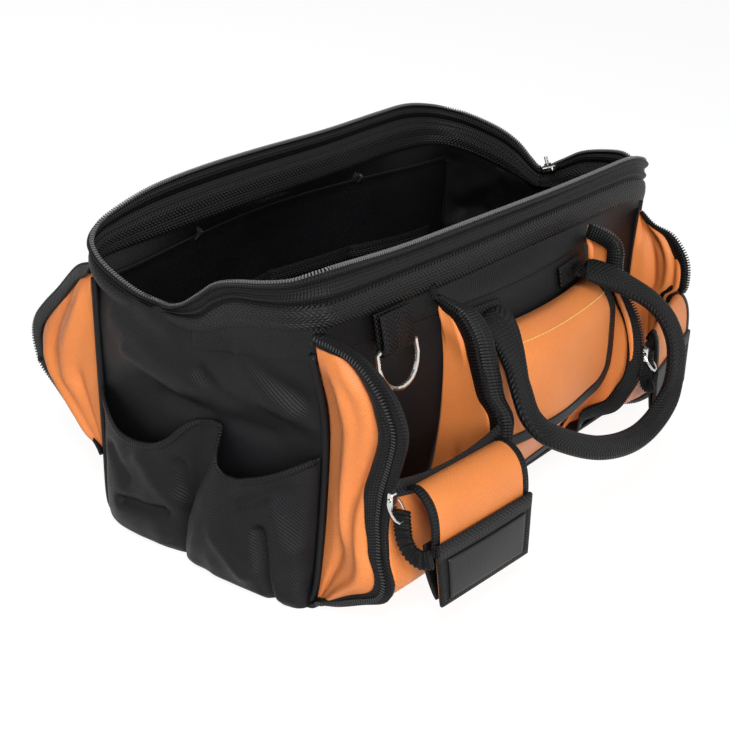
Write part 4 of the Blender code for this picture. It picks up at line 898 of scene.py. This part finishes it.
for side, end, name, outer_rows, inner_rows, panel_rows, base_z, swell in BELLOWS:
    flip, front_left = side * end > 0, side < 0 and end < 0
    for label, x, rows, bulge, creases in (("outer", OUTER_X, outer_rows, swell, GUSSET_FOLDS),
                                           ("inner", INNER_X, inner_rows, INNER_SWELL, GUSSET_FOLDS[3:])):
        gusset = f"{name}_{label}_gusset"
        grid = gusset_grid(side, end, x, rows, base_z, bulge, creases)
        sheet(f"{gusset}_cloth", grid, ORANGE_CLOTH, CLOTH, "bag", "orange_cloth", gusset, flip=flip)
        if front_left and label == "outer":
            track = wide_binding(f"{gusset}_binding", grid, end, flip)
        else:
            bound_edge(f"{gusset}_binding", grid[:, -1], grid[:, -3], RIBBED_TAPE, GUSSET_BINDING)
            track = grid[:, -1] - unit(grid[:, -3] - grid[:, -1]) * TRACK_OUT
        coil = blocks_along(f"{gusset}_coil", track, (end, 0, 0), COIL, TOOTH, COIL_PITCH, COIL_PITCH / 2)
        finish(coil, "bag", "zip_coil")
    if front_left:
        zip_strip(f"{name}_zip_tape", grid[:, -1])
    pocket_panel(side, end, name, *panel_rows)


# Centre pockets: a wide orange slip pocket sewn on each long wall between the bellows pockets. It bulges,
# and it is bound in black along its rim and its foot.
CENTRE_HALF = 0.082
CENTRE_TOP = 0.148
CENTRE_BASE = 0.009
CENTRE_BULGE = 0.0195
CENTRE_CLEAR = 0.0012
CENTRE_BINDING = (0.0065, 0.0030)
for side, name in SIDES:
    columns = CENTRE_HALF * np.sin(spread(-math.pi / 2, math.pi / 2, 100))
    x, z = np.meshgrid(columns, spread(CENTRE_BASE, CENTRE_TOP, 70))
    across = clamped(1 - np.abs(x / CENTRE_HALF) ** 5) ** 0.6 * (1 - 0.12 * (x / CENTRE_HALF) ** 2)
    up = eased(clamped((z - CENTRE_BASE) / (CENTRE_TOP - CENTRE_BASE) / 0.45))
    y = wall_place(x, z) + CENTRE_CLEAR + CENTRE_BULGE * across * up
    y = y + soft_noise(joined(x, z, z * 0), 0.028, side) * 0.0011
    grid = joined(x, side * y, z)
    sheet(f"{name}_center_cloth", grid, ORANGE_CLOTH, CLOTH, "bag", "orange_cloth",
          f"{name}_center_pocket", flip=side > 0)
    for row, inside, label in ((0, 3, "foot"), (-1, -4, "rim")):
        bound_edge(f"{name}_center_{label}_binding", grid[row], grid[inside], RIBBED_TAPE, CENTRE_BINDING)


# Flap: an orange flap over the front centre pocket, bound in black round its free edges, with a row of
# yellow stitches under its top seam. Its middle is left bare.
FLAP_LIFT = 0.0044
FLAP_STAND = 0.0205
FLAP_TOP = 0.1628
FLAP_LOW = 0.0805
FLAP_ROUND = 0.018
FLAP_HALF = 0.0830
FLAP_BOUND = 0.0085
FLAP_CLOTH = 0.0014
STITCH = (0.0028, 0.0008, 0.0007)
STITCH_GAP = 0.0012
STITCH_ROW = -7


def flap_place(x, z):
    """The flap's distance from the middle of the bag: it stands off the wall like the full pocket."""
    down = clamped((FLAP_TOP - z) / 0.022)
    over = np.sqrt(1 - (1 - down) ** 2) * (1 - 0.06 * np.abs(x / FLAP_HALF) ** 3)
    splay = 0.0045 * clamped((0.156 - z) / 0.06)
    ripple = 0.0011 * np.sin(x / 0.017 + z / 0.05) * down
    return wall_place(x, z) + FLAP_LIFT + FLAP_STAND * over + splay + ripple


def flap_border(inset):
    """A line round the flap's free edges, a distance in from them, down its left and up its right."""
    turn = spread(0, math.pi / 2, 14)
    radius = FLAP_ROUND - inset * 0.5
    half, low = FLAP_HALF - inset, FLAP_LOW + inset
    side_edge = joined(-half, spread(FLAP_TOP, low + radius, 40))
    corner = joined(-half + radius * (1 - np.cos(turn)), low + radius * (1 - np.sin(turn)))
    left = np.concatenate((side_edge, corner[1:]))
    foot = joined(spread(-half + radius, half - radius, 60)[1:-1], low)
    x, z = np.concatenate((left, foot, (left * (-1, 1))[::-1])).T
    return joined(x, -flap_place(x, z), z)


shares = spread(-1, 1, 90)
columns = FLAP_HALF * np.sin(shares * math.pi / 2) * 0.35 + FLAP_HALF * shares * 0.65
x, share = np.meshgrid(columns, spread(0, 1, 60))
inset = np.clip(FLAP_HALF - np.abs(x), 0, FLAP_ROUND)
low = FLAP_LOW + FLAP_ROUND - np.sqrt(FLAP_ROUND ** 2 - (FLAP_ROUND - inset) ** 2)
z = low + (FLAP_TOP - low) * share
grid = joined(x, -flap_place(x, z), z)
sheet("flap_cloth", grid, ORANGE_CLOTH, FLAP_CLOTH, "flap", "orange_cloth", "center_flap")

insets = spread(-EDGE_LAP, FLAP_BOUND, 8)
rings = np.stack([flap_border(inset) for inset in insets])
sheet("flap_binding", rings, RIBBED_TAPE, FLAT_BINDING, "flap", "webbing", flip=True,
      cut=joined(lengths_along(rings[0])[None, :], insets[:, None]))

seam = grid[STITCH_ROW]
face = unit(np.cross(np.gradient(seam, axis=0), grid[STITCH_ROW + 1] - seam))
face = np.where(face[:, 1:2] > 0, -face, face)[3:-3]
thread = shader_of("yellow_thread", 0.6, colour=(0.80, 0.50, 0.16))[0]
stitches = blocks_along("flap_stitches", seam[3:-3] + face * FLAP_CLOTH / 2, face, thread, STITCH,
                        STITCH[0] + STITCH_GAP, STITCH[0] / 2, margin=STITCH[0] / 2, lift=0.0004)
finish(stitches, "flap", "orange_cloth")


# Inner pockets: a long slip pocket of the black cloth against each long wall inside, bound along its rim
# and sewn through into four.
INNER_HALF = 0.180
INNER_FOOT, INNER_TOP = 0.0075, 0.125
INNER_BINDING = (0.010, 0.0026)
for side, name in SIDES:
    x, z = np.meshgrid(spread(-INNER_HALF, INNER_HALF, 120), spread(INNER_FOOT, INNER_TOP, 40))
    seams = np.abs(np.sin(math.pi * (x + INNER_HALF) / (INNER_HALF / 2)))
    y = wall_place(x, z) - 0.0050 - 0.006 * seams ** 0.6 * np.sin(math.pi * clamped(z / INNER_TOP) * 0.75)
    grid = joined(x, side * y, z)
    sheet(f"{name}_inner_cloth", grid, BLACK_CLOTH, CLOTH, "bag", "black_cloth", f"{name}_inner_pocket",
          offset=-1.0, flip=side < 0)
    bound_edge(f"{name}_inner_rim", grid[-1], grid[-4], HEM_WEBBING, INNER_BINDING)


# Mouth: each half has a hem of black webbing folded over the steel frame, a band of zip tape above it and
# a coil of teeth on top. Below the hem a skirt of cloth joins it to the walls and end panels; it fans out
# when the mouth closes. The two halves meet in a low fold of the zip at each end.
FRONT_HEM = (
    (-0.2100, 0.0330, 0.1775, 0.1830, 0.1866), (-0.2125, 0.0190, 0.1775, 0.1835, 0.1884),
    (-0.2140, 0.0040, 0.1775, 0.1855, 0.1946), (-0.2145, -0.0115, 0.1795, 0.1895, 0.2055),
    (-0.2145, -0.0250, 0.1850, 0.2000, 0.2154), (-0.2145, -0.0410, 0.1920, 0.2085, 0.2210),
    (-0.2140, -0.0640, 0.1975, 0.2120, 0.2260), (-0.2110, -0.0860, 0.2010, 0.2150, 0.2320),
    (-0.2020, -0.1000, 0.2025, 0.2170, 0.2380), (-0.1880, -0.1060, 0.2020, 0.2180, 0.2400),
    (-0.1270, -0.1070, 0.1990, 0.2170, 0.2360), (-0.0500, -0.1075, 0.1965, 0.2150, 0.2340),
    (0.0500, -0.1080, 0.1960, 0.2145, 0.2318), (0.1230, -0.1080, 0.1960, 0.2140, 0.2313),
    (0.1600, -0.1080, 0.1950, 0.2135, 0.2310), (0.1830, -0.1075, 0.1925, 0.2100, 0.2275),
    (0.1970, -0.1050, 0.1890, 0.2055, 0.2215), (0.2065, -0.0985, 0.1845, 0.2005, 0.2155),
    (0.2120, -0.0880, 0.1830, 0.1995, 0.2150), (0.2140, -0.0720, 0.1865, 0.2035, 0.2195),
    (0.2120, -0.0404, 0.1860, 0.2010, 0.2140), (0.2095, -0.0200, 0.1805, 0.1920, 0.2030),
    (0.2065, -0.0030, 0.1775, 0.1855, 0.1940),
)
BACK_HEM = (
    (-0.2100, 0.0330, 0.1775, 0.1830, 0.1866), (-0.2120, 0.0490, 0.1770, 0.1840, 0.1892),
    (-0.2135, 0.0640, 0.1785, 0.1875, 0.1945), (-0.2140, 0.0780, 0.1830, 0.1930, 0.2005),
    (-0.2125, 0.0900, 0.1885, 0.1995, 0.2065), (-0.2070, 0.1005, 0.1930, 0.2050, 0.2120),
    (-0.1960, 0.1075, 0.1950, 0.2085, 0.2180), (-0.1800, 0.1095, 0.1960, 0.2115, 0.2245),
    (-0.1420, 0.1100, 0.1965, 0.2155, 0.2330), (-0.0920, 0.1100, 0.1975, 0.2180, 0.2368),
    (-0.0300, 0.1100, 0.1985, 0.2190, 0.2375), (0.0500, 0.1100, 0.1990, 0.2190, 0.2365),
    (0.1200, 0.1100, 0.2000, 0.2210, 0.2380), (0.1550, 0.1080, 0.2000, 0.2215, 0.2385),
    (0.1820, 0.1030, 0.1990, 0.2190, 0.2345), (0.1990, 0.0920, 0.1970, 0.2150, 0.2300),
    (0.2070, 0.0740, 0.1940, 0.2110, 0.2260), (0.2095, 0.0450, 0.1880, 0.2040, 0.2190),
    (0.2090, 0.0240, 0.1830, 0.1965, 0.2105), (0.2080, 0.0090, 0.1790, 0.1885, 0.1995),
    (0.2065, -0.0030, 0.1775, 0.1855, 0.1940),
)
HALVES = ((-1, "front", FRONT_HEM, BACK_HEM, 0.0, 0.002), (1, "back", BACK_HEM, FRONT_HEM, 0.034, 0.036))
HEM_SECTION = (
    (0.0000, 0.00), (0.0006, 0.18), (0.0011, 0.42), (0.0010, 0.68), (0.0004, 0.88), (-0.0006, 0.98),
    (-0.0020, 1.03), (-0.0036, 1.00), (-0.0046, 0.90), (-0.0051, 0.68), (-0.0052, 0.40),
    (-0.0050, 0.12), (-0.0044, 0.00), (-0.0022, -0.01),
)
TAPE_RISE = ((-0.12, -0.0022), (0.10, -0.0014), (0.30, 0.0006), (0.45, -0.0010), (0.60, -0.0014),
             (0.74, -0.0006), (0.84, 0.0012), (0.93, 0.0012), (1.0, -0.0008))
MOUTH_TOOTH = (0.0011, 0.0030, 0.0016)
BAR_SECTION = ((-0.0008, -0.004), (0.0008, -0.004), (0.0008, 0.004), (-0.0008, 0.004))
SKIRT_HEAD = 0.182
SKIRT_CLOTH = 0.0010


def mouth_half(rows, other):
    """The places and outward directions of one half of the mouth, which meets the other half."""
    line = route_through(rows, 0.0030, other[1], other[-2])
    tangent = tangents(line[:, :2])
    for k, (near, far) in ((0, (other[1], rows[1])), (-1, (rows[-2], other[-2]))):
        tangent[k] = unit(np.subtract(far[:2], near[:2]))
    outward = joined(tangent[:, 1], -tangent[:, 0])
    outward = outward * np.sign(np.sum(outward * line[:, :2], axis=-1, keepdims=True))
    return line, joined(*outward.T, 0.0)


def risen(line, outward, out, height):
    """Places beside the route: a distance out of it and a height."""
    place = joined(line[:, 0], line[:, 1], 0.0) + outward * np.reshape(out, (-1, 1))
    place[:, 2] = height
    return place


def mouth_foot(side, line):
    """The foot of the skirt below each place of the mouth: on the end panels or on the long wall."""
    x, reach = line[:, 0], np.abs(line[:, 1])
    end = np.where(x < 0, -1, 1)
    rail = eased(clamped((reach - 0.088) / 0.014) * clamped((0.2075 - np.abs(x)) / 0.004 + 1))
    y_end = np.clip(side * line[:, 1], -0.03, 0.0985)
    z_end = foot_height(np.abs(y_end))
    at_left, at_right = (end_place(way, side * y_end, z_end) for way, _ in ENDS)
    x_end = np.where(end < 0, at_left, at_right) + end * 0.0003
    x_rail = np.clip(x, -WALL_END, WALL_END)
    z_rail = np.full_like(x, 0.184)
    for _ in range(6):
        y_rail = wall_place(x_rail, z_rail) + 0.0003
        z_rail = foot_height(y_rail)
    return joined(between(x_end, x_rail, rail), side * between(y_end, y_rail, rail),
                  between(z_end, z_rail, rail))


def on_mouth(piece):
    """A piece sewn at the foot of the skirt has its placement baked into its mesh."""
    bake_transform(piece)


for side, name, rows, other, start_y, frame_start in HALVES:
    line, outward = mouth_half(rows, other)
    low, top, crest = line[:, 2:].T
    body = f"{name}_mouth"

    grid = np.stack([risen(line, outward, out, between(low, top, share)) for out, share in HEM_SECTION],
                    axis=1)
    hem = finish(closed_skin(f"{name}_hem", grid, HEM_WEBBING), None, "webbing", f"{name}_hem_band")
    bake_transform(hem)

    shares = spread(-0.12, 1.0, 20)
    grid = np.stack([risen(line, outward, out, between(top, crest, share))
                     for out, share in zip(eased_table(TAPE_RISE, shares), shares)])
    tape = sheet(f"{name}_zip_tape", grid, RIBBED_TAPE, CLOTH, None, "zip_coil", f"{name}_zip",
                 offset=-1.0, flip=side > 0)
    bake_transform(tape)

    teeth = blocks_along(f"{name}_teeth", risen(line, outward, -0.0020, crest + 0.0004), (0, 0, 1),
                         GLINT_PAINTED_COIL, MOUTH_TOOTH, COIL_PITCH, COIL_PITCH / 2)
    finish(teeth, None, "zip_coil")
    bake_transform(teeth)

    framed = side * line[:, 1] > frame_start
    framed |= (line[:, 0] > 0) & (side * line[:, 1] > 0.001)
    line, outward, low, top = line[framed], outward[framed], low[framed], top[framed]
    upright = np.broadcast_to((0.0, 0.0, 1.0), outward.shape)
    bar = swept(f"{name}_frame_bar", risen(line, outward, -0.0024, (low + top) / 2), outward, upright,
                BAR_SECTION, COIL)
    finish(bar, body, "steel", f"{name}_frame")

    foot = mouth_foot(side, line)
    head_z = np.maximum(SKIRT_HEAD + FRAME_SLOPE * np.abs(line[:, 1]), low + 0.003)
    head = risen(line, outward, -0.0016, head_z)
    share = spread(0, 1, 26)[:, None, None]
    grid = between(foot[None], head[None], eased(share))
    grid[..., 2] = between(foot[None, :, 2], head[None, :, 2], share[..., 0])
    skirt = sheet(f"{name}_skirt_cloth", grid, BLACK_CLOTH, SKIRT_CLOTH, None, "black_cloth",
                  f"{name}_skirt", offset=-1.0, flip=side > 0)
    on_mouth(skirt)


# Rivets: the steel pins on which the two halves of the frame turn, set through both at each end and
# hidden in the hem.
RIVET_RADIUS = 0.0034
RIVET_Z = 0.1820
RIVET_RINGS = ((0.2068, 0.6), (0.2070, 1.0), (0.2082, 1.0), (0.2084, 0.6))
for end, name in ENDS:
    turn = disc(RIVET_RADIUS, 16)
    rings = np.array([joined(end * x, turn[:, 0] * r, RIVET_Z + turn[:, 1] * r) for x, r in RIVET_RINGS])
    finish(closed_skin(f"{name}_rivet_pin", rings, COIL), "bag", "steel", f"{name}_rivet")


# Handles: black coarse webbing, sewn to the walls under the hem, flat at its roots and folded round the
# grip, hanging down in front.
HANDLE_ROUTE = (
    (-0.0570, 0.1264, 0.1750), (-0.0565, 0.1365, 0.1705), (-0.0630, 0.1490, 0.1600),
    (-0.0710, 0.1600, 0.1510), (-0.0800, 0.1710, 0.1420), (-0.0850, 0.1845, 0.1250),
    (-0.0720, 0.1955, 0.1100), (-0.0240, 0.2044, 0.0860), (0.0310, 0.2060, 0.0750),
    (0.0690, 0.2067, 0.0905), (0.0785, 0.2045, 0.1220), (0.0800, 0.1950, 0.1440),
    (0.0790, 0.1800, 0.1570), (0.0740, 0.1640, 0.1650), (0.0680, 0.1480, 0.1715),
    (0.0610, 0.1345, 0.1755), (0.0570, 0.1264, 0.1750),
)
FLAT_HALF, GRIP_HALF = 0.0165, 0.0088
WEB_HALF, FOLDED_HALF = 0.0012, 0.0036
TWIST_SHARE = 0.15
ROOT_PLACES = ((-0.057, "left"), (0.057, "right"))
ROOT_HALF, ROOT_THICK, ROOT_OUT = 0.019, 0.0022, 0.0026
ROOT_FOOT, ROOT_TOP = 0.166, 0.1805
SKIRT_TOP_Y, SKIRT_TOP_Z = 0.1060, 0.1990


def rounded(half_width, half_thick, count=6):
    """A flat strap's section with round edges, from arrays of half widths and half thicknesses."""
    angles = spread(-math.pi / 2, math.pi / 2, count)
    half_width, half_thick = half_width[:, None], half_thick[:, None]
    right = joined(half_width - half_thick * (1 - np.cos(angles)), half_thick * np.sin(angles))
    return np.concatenate((right, right[:, ::-1] * (-1, 1)), axis=1)


def hanging_handle(side, name):
    """A handle's loop: its flat roots lie on the wall, its grip is turned on edge round the loop."""
    line = route_through(HANDLE_ROUTE, 0.0030) * (-side, side, 1)
    tangent = tangents(line)
    tangent[0], tangent[-1] = tangent[1], tangent[-2]
    share = lengths_along(line)
    share = share / share[-1]
    twist = eased(clamped(np.minimum(share, 1 - share) / TWIST_SHARE))
    wall = np.cross((1.0, 0.0, 0.0), tangent)
    wall = wall * np.where(wall[:, 1:2] * side > 0, 1, -1)
    middle = line.mean(axis=0)
    plane = unit(np.sum(np.cross(line[:-1] - middle, line[1:] - middle), axis=0))
    plane = plane * np.sign(plane[1] * side)
    normal = square_to(tangent, between(unit(wall), plane, twist[:, None]))
    section = rounded(between(FLAT_HALF, GRIP_HALF, twist), between(WEB_HALF, FOLDED_HALF, twist))
    handle = swept(f"{name}_handle_webbing", line, np.cross(tangent, normal), normal, section,
                   HANDLE_WEBBING)
    finish(handle, f"{name}_handle_loop", "webbing", f"{name}_handle")


def laid_on_skirt(x, side, z, out):
    """Places on the wall and the skirt above it, a distance out of the cloth."""
    y_foot = 0.12
    for _ in range(5):
        y_foot = wall_place(x, foot_height(y_foot))
    z_foot = foot_height(y_foot)
    on_skirt = y_foot + (SKIRT_TOP_Y - y_foot) * eased(clamped((z - z_foot) / (SKIRT_TOP_Z - z_foot)))
    y = np.where(z > z_foot, on_skirt, wall_place(x, np.minimum(z, z_foot)))
    return joined(x, side * (y + out), z)


for side, name in SIDES:
    hanging_handle(side, name)
    for place, label in ROOT_PLACES:
        x, z = np.meshgrid(spread(place - ROOT_HALF, place + ROOT_HALF, 12),
                           spread(ROOT_FOOT, ROOT_TOP, 10))
        root = sheet(f"{name}_{label}_handle_root", laid_on_skirt(x, side, z, ROOT_OUT), HANDLE_WEBBING,
                     ROOT_THICK, None, "webbing", offset=-1.0, flip=side > 0,
                     cut=joined(z, x - place + ROOT_HALF))
        on_mouth(root)


# D-ring tabs: a short piece of the handles' webbing folded round the straight bar of each D-ring and sewn
# to the wall under the hem.
RING_TABS = ((-1, "front", "left", -0.1415), (1, "back", "right", 0.1415))
TAB_HALF, TAB_WEB_HALF = 0.0160, 0.0009
BAR_Y, BAR_Z = 0.11434, 0.1757
TAB_OUTSIDE = ((0.1125, 0.2000), (0.1150, 0.1900), (0.1168, 0.1810))
TAB_INSIDE = ((0.1117, 0.1810), (0.1100, 0.1900), (0.1080, 0.2000))
for side, name, label, place in RING_TABS:
    fold = [(BAR_Y + 0.0026 * math.cos(a), BAR_Z - 0.0028 * math.sin(a))
            for a in spread(0.2, math.pi - 0.2, 6)]
    path = [(place, side * y, z) for y, z in (*TAB_OUTSIDE, *fold, *TAB_INSIDE)]
    line = route_through(path, 0.0012)
    across = np.broadcast_to((1.0, 0.0, 0.0), line.shape)
    every = np.ones(len(line))
    tab = swept(f"{name}_{label}_tab_webbing", line, across, np.cross(tangents(line), across),
                rounded(every * TAB_HALF, every * TAB_WEB_HALF, 4), HANDLE_WEBBING)
    finish(tab, None, "webbing", f"{name}_{label}_ring_tab")
    on_mouth(tab)


# Metal: the D-rings, sliders, puller and slider rings, in bright nickel plating that is dull where it is
# handled. They show as their solids.
NICKEL_COLOUR, NICKEL_ROUGHNESS = (0.78, 0.76, 0.72), 0.22


def metal_look(name, colour, roughness):
    """A plated metal with faint smears."""
    look, tree, shader = shader_of(name, roughness, 1.0)
    tone = group_in(tree, NAP, Blotch=120.0, Fluff=2500.0).outputs["Tone"]
    blend_colours(tree, shader, [c * 0.8 for c in colour], colour, tone)
    rough = sums(tree, "MULTIPLY_ADD", tone, 0.2, roughness - 0.08)
    tree.links.new(rough, shader.inputs["Roughness"])
    return look


NICKEL = metal_look("nickel_plate", NICKEL_COLOUR, NICKEL_ROUGHNESS)
for name in ("front_left_d_ring", "back_right_d_ring", "zip_slider", "zip_puller",
             "front_left_pocket_slider", "front_right_pocket_slider", "front_left_slider_ring",
             "front_right_slider_ring"):
    dress(name, NICKEL)


# Lids: each front bellows pocket carries an arched orange lid on its rim. The lid's lower end is sewn
# behind a black front with a patch of vinyl; the front is lined in orange, and a ribbed loop hangs
# beside it.
LIDS = (
    ("left", (-0.1440, -0.16137, 0.1110), -0.06725, (1.0, 1.0)),
    ("right", (0.1500, -0.15437, 0.1190), 0.27417, (0.30, 0.50)),
)
LID_HALF = 0.0462
LID_CLOTH = 0.0014
LID_RISE, LID_LEAN = 0.0016, 0.0045
LID_ARCH = (
    (0.0004, -0.0060), (-0.0035, -0.0022), (-0.0095, 0.0002), (-0.0160, -0.0014), (-0.0225, -0.0066),
    (-0.0265, -0.0140), (-0.0285, -0.0240), (-0.0292, -0.0380),
)
LID_BINDING, FRONT_BINDING, FRONT_HEM_SIZE = (0.0050, 0.0030), (0.0042, 0.0034), (0.0100, 0.0036)
FRONT_TOP, FRONT_FOOT = -0.0305, -0.0755
FRONT_LEFT, FRONT_RIGHT = -0.0480, 0.0460
LINING_LEFT, LINING_RIGHT = -0.0475, 0.0450
FRONT_OUT = -0.0335
FRONT_THICK, PATCH_THICK, LINING_THICK, BACKING_THICK = 0.0022, 0.0009, 0.0010, 0.0016
BACKING = 0.0085
TRAPEZE = 0.0070
LOOP_X = -0.0550
LOOP_PATH = (
    (-0.0085, -0.0110), (-0.0095, -0.0200), (-0.0115, -0.0300), (-0.0170, -0.0370), (-0.0235, -0.0390),
    (-0.0290, -0.0375), (-0.0330, -0.0350),
)
LOOP_HALF, LOOP_WEB_HALF, LOOP_RIB = 0.0058, 0.0019, 0.0026


def vinyl_look():
    """Black embossed vinyl with a fine grain and a dull shine."""
    look, tree, shader = shader_of("black_vinyl", 0.42, colour=(0.009, 0.009, 0.010))
    shader.inputs["Specular IOR Level"].default_value = 0.30
    grain = tree.nodes.new("ShaderNodeTexVoronoi")
    grain.inputs["Scale"].default_value = 900.0
    place = tree.nodes.new("ShaderNodeTexCoord")
    tree.links.new(place.outputs["Object"], grain.inputs["Vector"])
    raise_face(tree, shader, grain.outputs["Distance"], 0.0002, 0.5)
    return look


def on_lid(lid, places):
    """Points given from a lid's hinge, x along it and y into the bag, in their place. The lid may be
    pressed towards the bag, by one share at its left end and by another at its right."""
    spot, turn, pressed = lid
    x, y, z = np.moveaxis(np.asarray(places, float), -1, 0)
    y = y * between(*pressed, (x + 0.05) / 0.10)
    c, s = math.cos(turn), math.sin(turn)
    return joined(spot[0] + c * x - s * y, spot[1] + s * x + c * y, spot[2] + z)


def front_places(columns, rows):
    """X, Z and the share of the height over a lid's front, which is a little wider at its left foot."""
    x, z = np.meshgrid(columns, rows)
    up = (z - FRONT_FOOT) / (FRONT_TOP - FRONT_FOOT)
    return x + TRAPEZE * (1 - up) * (0.5 + x / (2 * FRONT_LEFT)), z, up


def lid_shell(piece, body, lid):
    """The arched orange lid with a binding along each of its two side edges."""
    arch = route_through([(0.0, y, z) for y, z in LID_ARCH], 0.0016)
    u = spread(-1, 1, 50)[None, :]
    rise = np.sin(math.pi * np.linspace(0, 1, len(arch)))[:, None] * (1 - u ** 4) * LID_RISE
    lean = np.where(u < 0, LID_LEAN, 0.0) * (arch[:, 1:2] / FRONT_OUT - 0.5)
    grid = on_lid(lid, joined(LID_HALF * u - lean, arch[:, 1:2] - rise * 0.5, arch[:, 2:3] + rise))
    sheet(f"{piece}_cloth", grid, ORANGE_CLOTH, LID_CLOTH, body, "orange_cloth", piece, flip=True)
    for column, inside, label in ((0, 3, "outer"), (-1, -4, "inner")):
        bound_edge(f"{piece}_{label}_binding", grid[:, column], grid[:, inside], RIBBED_TAPE, LID_BINDING,
                   body)


def lid_front(piece, body, lid):
    """The lid's black front with its patch, hem and binding, and the lining and backing behind it."""
    x, z, up = front_places(spread(FRONT_LEFT, FRONT_RIGHT, 40), spread(FRONT_FOOT, FRONT_TOP, 24))
    y = FRONT_OUT + 0.0014 - 0.0018 * np.cos(x / FRONT_LEFT * math.pi / 2) * np.sin(math.pi * up)
    flat = joined(x, y, z)
    grid = on_lid(lid, flat)
    sheet(f"{piece}_front", grid, BLACK_CLOTH, FRONT_THICK, body, "vinyl", f"{piece}_end")
    patch = on_lid(lid, flat[2:-6, 3:-3] + (0.0, -0.0016, 0.0))
    sheet(f"{piece}_patch", patch, VINYL, PATCH_THICK, body, "vinyl")
    hem = on_lid(lid, flat[-1] + (0.0, -0.0004, 0.0))
    bound_edge(f"{piece}_hem", hem, hem + grid[-4] - grid[-1], HEM_WEBBING, FRONT_HEM_SIZE, body)
    rim = np.concatenate((grid[::-1, 0], grid[0, 1:-1], grid[:, -1]))
    inside = np.concatenate((grid[::-1, 3], grid[3, 1:-1], grid[:, -4]))
    bound_edge(f"{piece}_front_binding", rim, inside, RIBBED_TAPE, FRONT_BINDING, body)

    x, z, _ = front_places(spread(LINING_LEFT, LINING_RIGHT, 30),
                           spread(FRONT_FOOT + 0.001, FRONT_TOP - 0.004, 20))
    lining = on_lid(lid, joined(x, FRONT_OUT + 0.0034, z))
    sheet(f"{piece}_lining", lining, ORANGE_CLOTH, LINING_THICK, body, "orange_cloth")
    y = FRONT_OUT + 0.0045 + BACKING * clamped((z - FRONT_FOOT) / 0.020) ** 0.6
    backing = on_lid(lid, joined(x * 1.01, y, z * 0.985))
    sheet(f"{piece}_backing", backing, BLACK_CLOTH, BACKING_THICK, body, "black_cloth")


def ribbed_loop(name, body, lid, node):
    """The short ribbed webbing loop that hangs beside the lid."""
    line = route_through([(LOOP_X, y, z) for y, z in LOOP_PATH], 0.0008)
    tangent = tangents(line)
    across = unit(np.cross(tangent, (1.0, 0.0, 0.0)) + (0.25, 0.0, 0.0))
    origin = on_lid(lid, np.zeros(3))
    ribs = 1 + 0.10 * np.sin(lengths_along(line) * math.tau / LOOP_RIB)
    loop = swept(name, on_lid(lid, line), on_lid(lid, across) - origin,
                 on_lid(lid, np.cross(tangent, across)) - origin,
                 rounded(LOOP_HALF * ribs, LOOP_WEB_HALF * ribs ** 3, 4), RIBBED_TAPE)
    finish(loop, body, "webbing", node)


VINYL = vinyl_look()
for name, *lid in LIDS:
    lid_shell(f"front_{name}_lid", f"{name}_lid", lid)
    lid_front(f"front_{name}_lid", f"{name}_lid", lid)
    ribbed_loop(f"front_{name}_loop_webbing", f"{name}_lid", lid, f"front_{name}_ribbed_loop")
